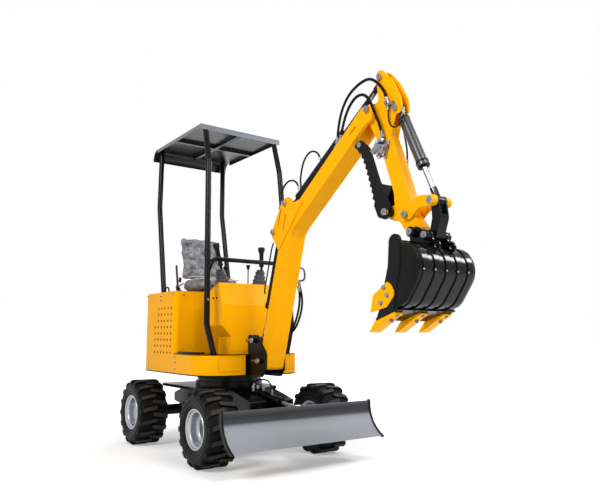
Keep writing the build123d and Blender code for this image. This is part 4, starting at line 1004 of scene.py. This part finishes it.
def arm_valve():
    """Block on a plate on the arm's side, with plugs and hose fittings all round."""
    bm = bmesh.new()
    block(bm, (1608, -66, 1722), (1682, -34, 1768), 3.0, VALVE_TILT)
    block(bm, (1620, -40, 1700), (1690, -30, 1790), 2.0, VALVE_TILT)
    for place, direction, radius, length in PORTS:
        turned(bm, [(0, -4), (radius, -4), (radius, length * 0.5), (radius * 0.75, length * 0.55),
                    (radius * 0.75, length), (0, length)], at(*place), direction, 18)
        hexagon(bm, at(*place), direction, radius * 2.4, length * 0.45, washer=False)
    new_piece("arm_valve", bm, ZINC, "arm", 30.0)


def arm_elbow_fitting():
    """Swivel elbow where the arm's hoses turn."""
    forward = (1, 0, -0.2)
    bm = bmesh.new()
    block(bm, (1692, -58, 1958), (1718, -32, 1990), 5.0, -10)
    turned(bm, [(0, 0), (11, 0), (11, 12), (8, 14), (8, 24), (0, 24)], at(1716, -45, 1972), forward, 18)
    hexagon(bm, at(1730, -45, 1969), forward, 24, 12, washer=False)
    turned(bm, [(0, 0), (9, 0), (9, 14), (0, 14)], at(1706, -56, 1974), (0, -1, 0), 18)
    new_piece("arm_elbow_fitting", bm, ZINC, "arm", 30.0)


def boom_hose_clamp():
    """Plate with two stubs, from which the arm's hoses leave the boom."""
    bm = bmesh.new()
    block(bm, (1270, -56, 1838), (1338, -36, 1868), 2.0, -33)
    for x, z in ((1290, 1868), (1316, 1878)):
        turned(bm, [(0, -24), (7, -24), (7, 6), (0, 6)], at(x, -46, z), (0, 0, 1), 16)
    new_piece("boom_hose_clamp", bm, ZINC, "boom", 30.0)


def boom_elbow_fitting():
    bm = bmesh.new()
    for place, direction in (((722, -40, 1600), (0, 0, 1)), ((700, -40, 1590), (-1, 0, 0.4))):
        turned(bm, [(0, -12), (10, -12), (10, 8), (0, 8)], at(*place), direction, 16)
    new_piece("boom_elbow_fitting", bm, ZINC, "boom", 30.0)


def blade_hose_fittings():
    """Three fittings on top of the chassis, behind the blade's cylinder."""
    bm = bmesh.new()
    for place in ((404, -46, 438), (404, -14, 444), (420, 20, 434)):
        turned(bm, [(0, -18), (10, -18), (10, 12), (0, 12)], at(*place), (0, 0, 1), 16)
        hexagon(bm, at(*place), (0, 0, 1), 22, 7, washer=False)
    new_piece("blade_hose_fittings", bm, ZINC, "chassis", 30.0)


CYLINDERS = [  # name, base pin, rod's eye, tube radius, tube's end from the base
    ("blade", BLADE_CYL_BASE, BLADE_CYL_EYE, 24, 270),
    ("boom", BOOM_CYL_TOP, BOOM_CYL_BASE, 30, 500),
    ("arm", ARM_CYL_BASE, ARM_CYL_EYE, 30, 600),
    ("bucket", BUCKET_CYL_BASE, ROCKER_EYE, 29, 375),
]
BASE_WELD = 0.072          # distance of the weld ring from the base pin, in metres


def cylinder_rings(name, base, eye, tube_r, tube_end):
    """Gland ring and wiper at the tube's end, and the weld ring at its base."""
    start = at(base[0], 0, base[1])
    direction = (at(eye[0], 0, eye[1]) - start).normalized()
    mouth = start + direction * tube_end / 1000
    gland = [(tube_r + 3.6, -30), (tube_r + 4.6, -29), (tube_r + 4.6, -18), (tube_r + 3.6, -17)]
    wiper = [(tube_r - 12, -2), (tube_r - 2, -2), (tube_r - 2, 3.5), (tube_r - 5, 4.5), (tube_r - 12, 4.5)]
    weld = [(tube_r - 1, -4), (tube_r + 1.6, -2), (tube_r + 1.6, 2), (tube_r - 1, 4)]
    bm = bmesh.new()
    for profile, place in ((gland, mouth), (wiper, mouth), (weld, start + direction * BASE_WELD)):
        turned(bm, profile, place, direction, 40, closed=True)
    new_piece(f"{name}_cylinder_rings", bm, BLACK, f"{name}_cylinder_barrel", 40.0)


def bucket_weld_glints():
    """Row of small plug welds across the bucket's back, left bright zinc as painted glints on the black
    paint.
    """
    bm = bmesh.new()
    for i in range(5):
        turned(bm, [(0, 0), (5, 0), (4, 2.5), (0, 3.5)], at(2040, (i - 2) * 76 - 19, 1076), (1, 0, -0.1), 12)
    new_piece("bucket_weld_glints", bm, ZINC, "bucket", 40.0)


BEAD_LINE = [(1880, 968), (1912, 1106), (1920, 1216)]  # (x, z) along the seam of the bucket's side plate
BEAD_STEP = 7
BEAD_R = 0.0042


def bucket_weld_bead():
    """Rippled weld up both sides of the bucket."""
    bm = bmesh.new()
    for side in (-1, 1):
        for (x0, z0), (x1, z1) in zip(BEAD_LINE, BEAD_LINE[1:]):
            count = int(math.dist((x0, z0), (x1, z1)) / BEAD_STEP)
            for i in range(count):
                share = i / count
                made = bmesh.ops.create_icosphere(bm, subdivisions=1, radius=BEAD_R)["verts"]
                bmesh.ops.translate(bm, vec=at(x0 + (x1 - x0) * share, side * 193, z0 + (z1 - z0) * share),
                                    verts=made)
    new_piece("bucket_weld_bead", bm, GLOSS_BLACK, "bucket", 50.0)


arm_valve()
arm_elbow_fitting()
boom_hose_clamp()
boom_elbow_fitting()
blade_hose_fittings()
for row in CYLINDERS:
    cylinder_rings(*row)
bent_bar("arm_cylinder_pipe", [(1540, -22, 2044), (1552, -22, 2055), (1564, -22, 2066), (1576, -22, 2077)],
         5, CHROME, "arm_cylinder_rod")
bent_bar("boom_cylinder_pipe", [(612, -30, 1376), (602, -34, 1366), (564, -34, 1240), (526, -34, 1118),
                                (508, -34, 1060), (512, -28, 1050)], 5, BLACK, "boom_cylinder_barrel")
bent_bar("boom_hook", [(770, 58, 1206), (790, 72, 1204), (806, 76, 1180), (810, 76, 1140), (792, 74, 1120),
                       (772, 58, 1124)], 6, BARREL_GREY, "boom")
bucket_weld_glints()
bucket_weld_bead()


# ---- operator's controls ----------------------------------------------------------------
LEVER_X = 190
LEVER_FOOT_Z = 1088        # console top on which the gaiters stand
LEVER_TOP_Z = 1408
STEM_BARE = 26             # bare stem between gaiter and grip
LEVERS = [  # side, foot y, gaiter's top y, z, grip's foot y, grip's top y, foot, top and grip radii
    ("right", -157, -197, 1228, -186, -230, 66, 24, 23),
    ("left", 117, 134, 1242, 143, 141, 64, 26, 25),
]
FOLDS = 5
FOOT_RIM = 8               # height of the gaiter's plain foot
GRIP_RIBS = 5


def gaiter(name, base, top, foot_r, neck_r):
    """Rubber gaiter whose folds narrow toward the stem."""
    height = (top - base).length * 1000
    folded = height - FOOT_RIM
    rows = [(0, 0), (foot_r, 0), (foot_r, FOOT_RIM)]
    for i in range(FOLDS):
        outer = foot_r + (neck_r + 5 - foot_r) * (i + 0.4) / FOLDS
        rows += [(outer, FOOT_RIM + folded * (i + 0.25) / FOLDS),
                 (outer - 1, FOOT_RIM + folded * (i + 0.5) / FOLDS),
                 (outer - 11, FOOT_RIM + folded * (i + 0.8) / FOLDS)]
    rows += [(neck_r, height - 4), (neck_r, height), (0, height)]
    bm = bmesh.new()
    turned(bm, rows, base, top - base, 36)
    return new_piece(name, bm, GAITER, "upper", 50.0)


def lever(side, foot, neck, neck_z, low, high, foot_r, neck_r, grip_r):
    """Joystick: gaiter, bare stem, and a waisted grip with finger ribs and a flat head."""
    boot = gaiter(f"lever_gaiter_{side}", at(LEVER_X, foot, LEVER_FOOT_Z), at(LEVER_X, neck, neck_z),
                  foot_r, neck_r)
    start, end = at(LEVER_X, low, neck_z + STEM_BARE), at(LEVER_X, high, LEVER_TOP_Z)
    length = (end - start).length * 1000
    bm = bmesh.new()
    turned(bm, [(0, -50), (9, -50), (9, 0), (17, 0), (19, 8), (15, 22), (15, length * 0.5),
                (17, length * 0.72), (grip_r, length * 0.84), (grip_r, length - 6), (grip_r - 4, length),
                (0, length)], start, end - start, 28)
    for i in range(GRIP_RIBS):
        turned(bm, [(14, -2), (16.6, 0), (14, 2)], start + (end - start) * (0.2 + 0.08 * i), end - start, 24,
               closed=True)
    new_piece(f"lever_grip_{side}", bm, GRIP, "upper", 45.0)
    return boot


def small_levers():
    """Throttle and blade levers between the joysticks."""
    bm = bmesh.new()
    turned(bm, [(0, 0), (14, 0), (12, 10), (4, 16), (4, 150), (8, 152), (15, 178), (13, 184), (0, 185)],
           at(LEVER_X, 32, 1090), (0, 0, 1), 24)
    turned(bm, [(0, 0), (12, 0), (5, 12), (5, 140), (12, 146), (19, 158), (19, 168), (12, 178), (0, 180)],
           at(150, -112, 1084), (0, -0.08, 1), 24)
    new_piece("small_levers", bm, GRIP, "upper", 45.0)


gaiters = [lever(*row) for row in LEVERS]
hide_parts("control_levers")
small_levers()


# ---- seat -------------------------------------------------------------------------------
PAD_VOXEL = 6.5            # mesh size of the covers
PAD_CAP = 12               # farthest that foam pushes a cover out
PAD_PRESSURE = 4.0
PAD_FRAMES = 20            # frames in which the pressure acts
CREASE_SEED = 3            # any number but 0, which would take the clock and crease the covers anew each run
CUSHION_SEAMS = (-215, -330)        # x of the cushion's cross seams
CUSHION_TOP = 1170         # height above which its seams show
CUSHION_SIDE = 0.118       # |y| of its side seams, in metres
BACK_LEAN = 0.254          # the back's run rearward for each unit of height
BACK_FOOT = (-503.0, 1211.0)
BACK_WING = 0.034          # how far the back's sides come forward, in metres
BACK_SIDE = 0.112          # |y| of its side seams, in metres
BACK_ACROSS = 1.365        # height of its cross seam, in metres
BACK_FOLD = 1.46           # height of its V fold at the middle, in metres
BACK_FOLD_RISE = 0.8       # how steeply the V's arms rise
BACK_SEAM = (8, 13)        # width and depth of its seams


def padded_block(name, low, high, rounding):
    """Closed box with rounded edges, fine enough to swell."""
    bm = bmesh.new()
    made = bmesh.ops.create_cube(bm, size=1.0)["verts"]
    bmesh.ops.scale(bm, vec=(Vector(high) - Vector(low)) / 1000, verts=made)
    bmesh.ops.bevel(bm, geom=bm.edges[:], offset=rounding / 1000, segments=4, profile=0.5, affect="EDGES",
                    material=-1)
    bmesh.ops.translate(bm, vec=(at(*low) + at(*high)) / 2, verts=bm.verts)
    return new_piece(name, bm, VINYL, None, 180.0)


def evaluated_mesh(piece):
    """The piece's mesh as its modifiers leave it."""
    graph = bpy.context.evaluated_depsgraph_get()
    return bpy.data.meshes.new_from_object(piece.evaluated_get(graph), depsgraph=graph)


def swell(piece, voxel, cap):
    """Fills the cover with foam: remeshed evenly, blown up as cloth, no point moving past the cap."""
    remesh = piece.modifiers.new("even_mesh", "REMESH")
    remesh.mode = "VOXEL"
    remesh.voxel_size = voxel / 1000
    even = evaluated_mesh(piece)
    piece.modifiers.clear()
    piece.data = even
    rest = [v.co.copy() for v in even.vertices]
    cloth = piece.modifiers.new("foam", "CLOTH")
    cloth.settings.use_pressure = True
    cloth.settings.uniform_pressure_force = PAD_PRESSURE
    cloth.settings.effector_weights.gravity = 0.0
    scene = bpy.context.scene
    for frame_number in range(1, PAD_FRAMES + 1):
        scene.frame_set(frame_number)
    blown = evaluated_mesh(piece)
    piece.modifiers.clear()
    for vertex, old, new in zip(even.vertices, rest, blown.vertices):
        moved = new.co - old
        vertex.co = old + moved * min(1.0, cap / 1000 / max(moved.length, 1e-9))
    bpy.data.meshes.remove(blown)
    scene.frame_set(1)


def crumple(piece, depth, scale):
    """Loose creases in the cover, in ridges longer upward than across."""
    mesh = piece.data
    normals = [v.normal.copy() for v in mesh.vertices]
    for vertex, normal in zip(mesh.vertices, normals):
        spot = Vector((vertex.co.x, vertex.co.y, vertex.co.z * 0.6)) * scale
        swirl = noise.noise_vector(spot * 0.6) * 0.9
        ridge = 1.0 - abs(noise.noise(spot + swirl)) * 2.4
        fine = 1.0 - abs(noise.noise(spot * 2.3 + swirl)) * 2.0
        vertex.co += normal * (depth / 1000) * (0.7 * ridge + 0.3 * fine - 0.5)


def sew(piece, seams):
    """Pulls the cover in along seams, each (function giving a point's distance from it, width, depth)."""
    for vertex in piece.data.vertices:
        for distance, width, depth in seams:
            away = distance(vertex.co)
            vertex.co -= vertex.normal * (depth / 1000) * math.exp(-(away * 1000 / width) ** 2)


def finish_pad(piece, node):
    """Smooths the cover and stands it for its CAD node."""
    piece.data.polygons.foreach_set("use_smooth", [True] * len(piece.data.polygons))
    surface = piece.modifiers.new("soft_surface", "SUBSURF")
    surface.levels = 1
    surface.render_levels = 1
    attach(piece, "upper")
    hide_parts(node)


def seat_cushion():
    """Cushion with two seams across it and one along each side."""
    pad = padded_block("seat_cushion_cover", (-496, -160, 1128), (-150, 160, 1196), 26)
    swell(pad, PAD_VOXEL, PAD_CAP)
    crumple(pad, 5.0, 20.0)
    front, mid = (at(x, 0, 0).x for x in CUSHION_SEAMS)
    top = at(0, 0, CUSHION_TOP).z

    def below(p):
        return max(0.0, top - p.z)

    sew(pad, [(lambda p: abs(p.x - front) + below(p), 7, 7),
              (lambda p: abs(p.x - mid) + below(p), 7, 6),
              (lambda p: abs(abs(p.y) - CUSHION_SIDE) + below(p), 7, 8)])
    finish_pad(pad, "seat_cushion")


def lean_back(piece):
    """Shears an upright pad rearward to the seat back's slope, and draws in its top corners."""
    foot = at(BACK_FOOT[0], 0, BACK_FOOT[1])
    for vertex in piece.data.vertices:
        up = vertex.co.z - foot.z
        shoulder = min(max((up - 0.24) / 0.1, 0.0), 1.0)
        vertex.co.y *= 1.0 - 0.10 * shoulder * shoulder
        vertex.co.x -= BACK_LEAN * up
        side = min(abs(vertex.co.y) / 0.16, 1.0)
        if vertex.co.x + BACK_LEAN * up > foot.x + 0.05:
            vertex.co.x += BACK_WING * side ** 4


def seat_back():
    """Leaning back with seams down its sides, one across it and a V fold above."""
    pad = padded_block("seat_back_cover", (-500, -164, 1208), (-422, 164, 1550), 30)
    lean_back(pad)
    swell(pad, PAD_VOXEL, PAD_CAP)
    crumple(pad, 11.0, 11.0)
    foot = at(BACK_FOOT[0], 0, BACK_FOOT[1])

    def behind(p):
        return max(0.0, foot.x + 0.045 - (p.x + BACK_LEAN * (p.z - foot.z)))

    def beyond(p, reach):
        return max(0.0, abs(p.y) - reach)

    def fold(p):
        return abs(p.z - BACK_FOLD - BACK_FOLD_RISE * abs(p.y)) + behind(p) + beyond(p, 0.1)

    sew(pad, [(lambda p: abs(p.z - BACK_ACROSS) + behind(p) + beyond(p, 0.09), *BACK_SEAM),
              (lambda p: abs(abs(p.y) - BACK_SIDE) + behind(p), *BACK_SEAM),
              (fold, *BACK_SEAM)])
    finish_pad(pad, "seat_back")


def recliner_plates():
    """Hinge plates with their pivots, and the rails on which they stand, on both sides of the seat."""
    bm = bmesh.new()
    for side in (-1, 1):
        y0, y1 = sorted((side * 172, side * 180))
        block(bm, (-545, y0, 1120), (-480, y1, 1150), 3.0)
        block(bm, (-556, y0, 1140), (-528, y1, 1330), 4.0, -12)
        turned(bm, [(0, 0), (22, 0), (22, 7), (17, 11), (0, 11)], at(-520, side * 178, 1150),
               (0, side, 0), 28)
        y0, y1 = sorted((side * 165, side * 181))
        block(bm, (-560, y0, 1118), (-470, y1, 1126), 2.0)
    new_piece("recliner_plates", bm, BLACK, "upper", 35.0)


def belt_part(name, low, high, ease, material):
    """Eased block of the belt's buckle, leaning back with the seat."""
    bm = bmesh.new()
    block(bm, low, high, ease, 15)
    new_piece(name, bm, material, "upper", 35.0)


noise.seed_set(CREASE_SEED)
seat_cushion()
seat_back()
bent_bar("seat_piping_front", [(-300, -166, 1196), (-200, -168, 1198), (-146, -160, 1196), (-133, -130, 1192),
                               (-130, 0, 1190), (-133, 130, 1192), (-146, 160, 1196), (-200, 168, 1198),
                               (-300, 166, 1196)], 3.5, PIPING, "upper")
bent_bar("seat_back_piping", [(-404, -150, 1222), (-402, -80, 1232), (-402, 0, 1236), (-402, 80, 1232),
                              (-404, 150, 1222)], 3.5, PIPING, "upper")
recliner_plates()
bent_bar("recliner_lever", [(-514, -186, 1150), (-470, -190, 1156), (-430, -190, 1164), (-404, -188, 1172)],
         5, GRIP, "upper")
belt_part("belt_buckle", (-486, -190, 1186), (-456, -176, 1222), 5.0, GRIP)
belt_part("belt_button", (-480, -191, 1216), (-462, -178, 1225), 2.0, BUCKLE_RED)

low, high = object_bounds()
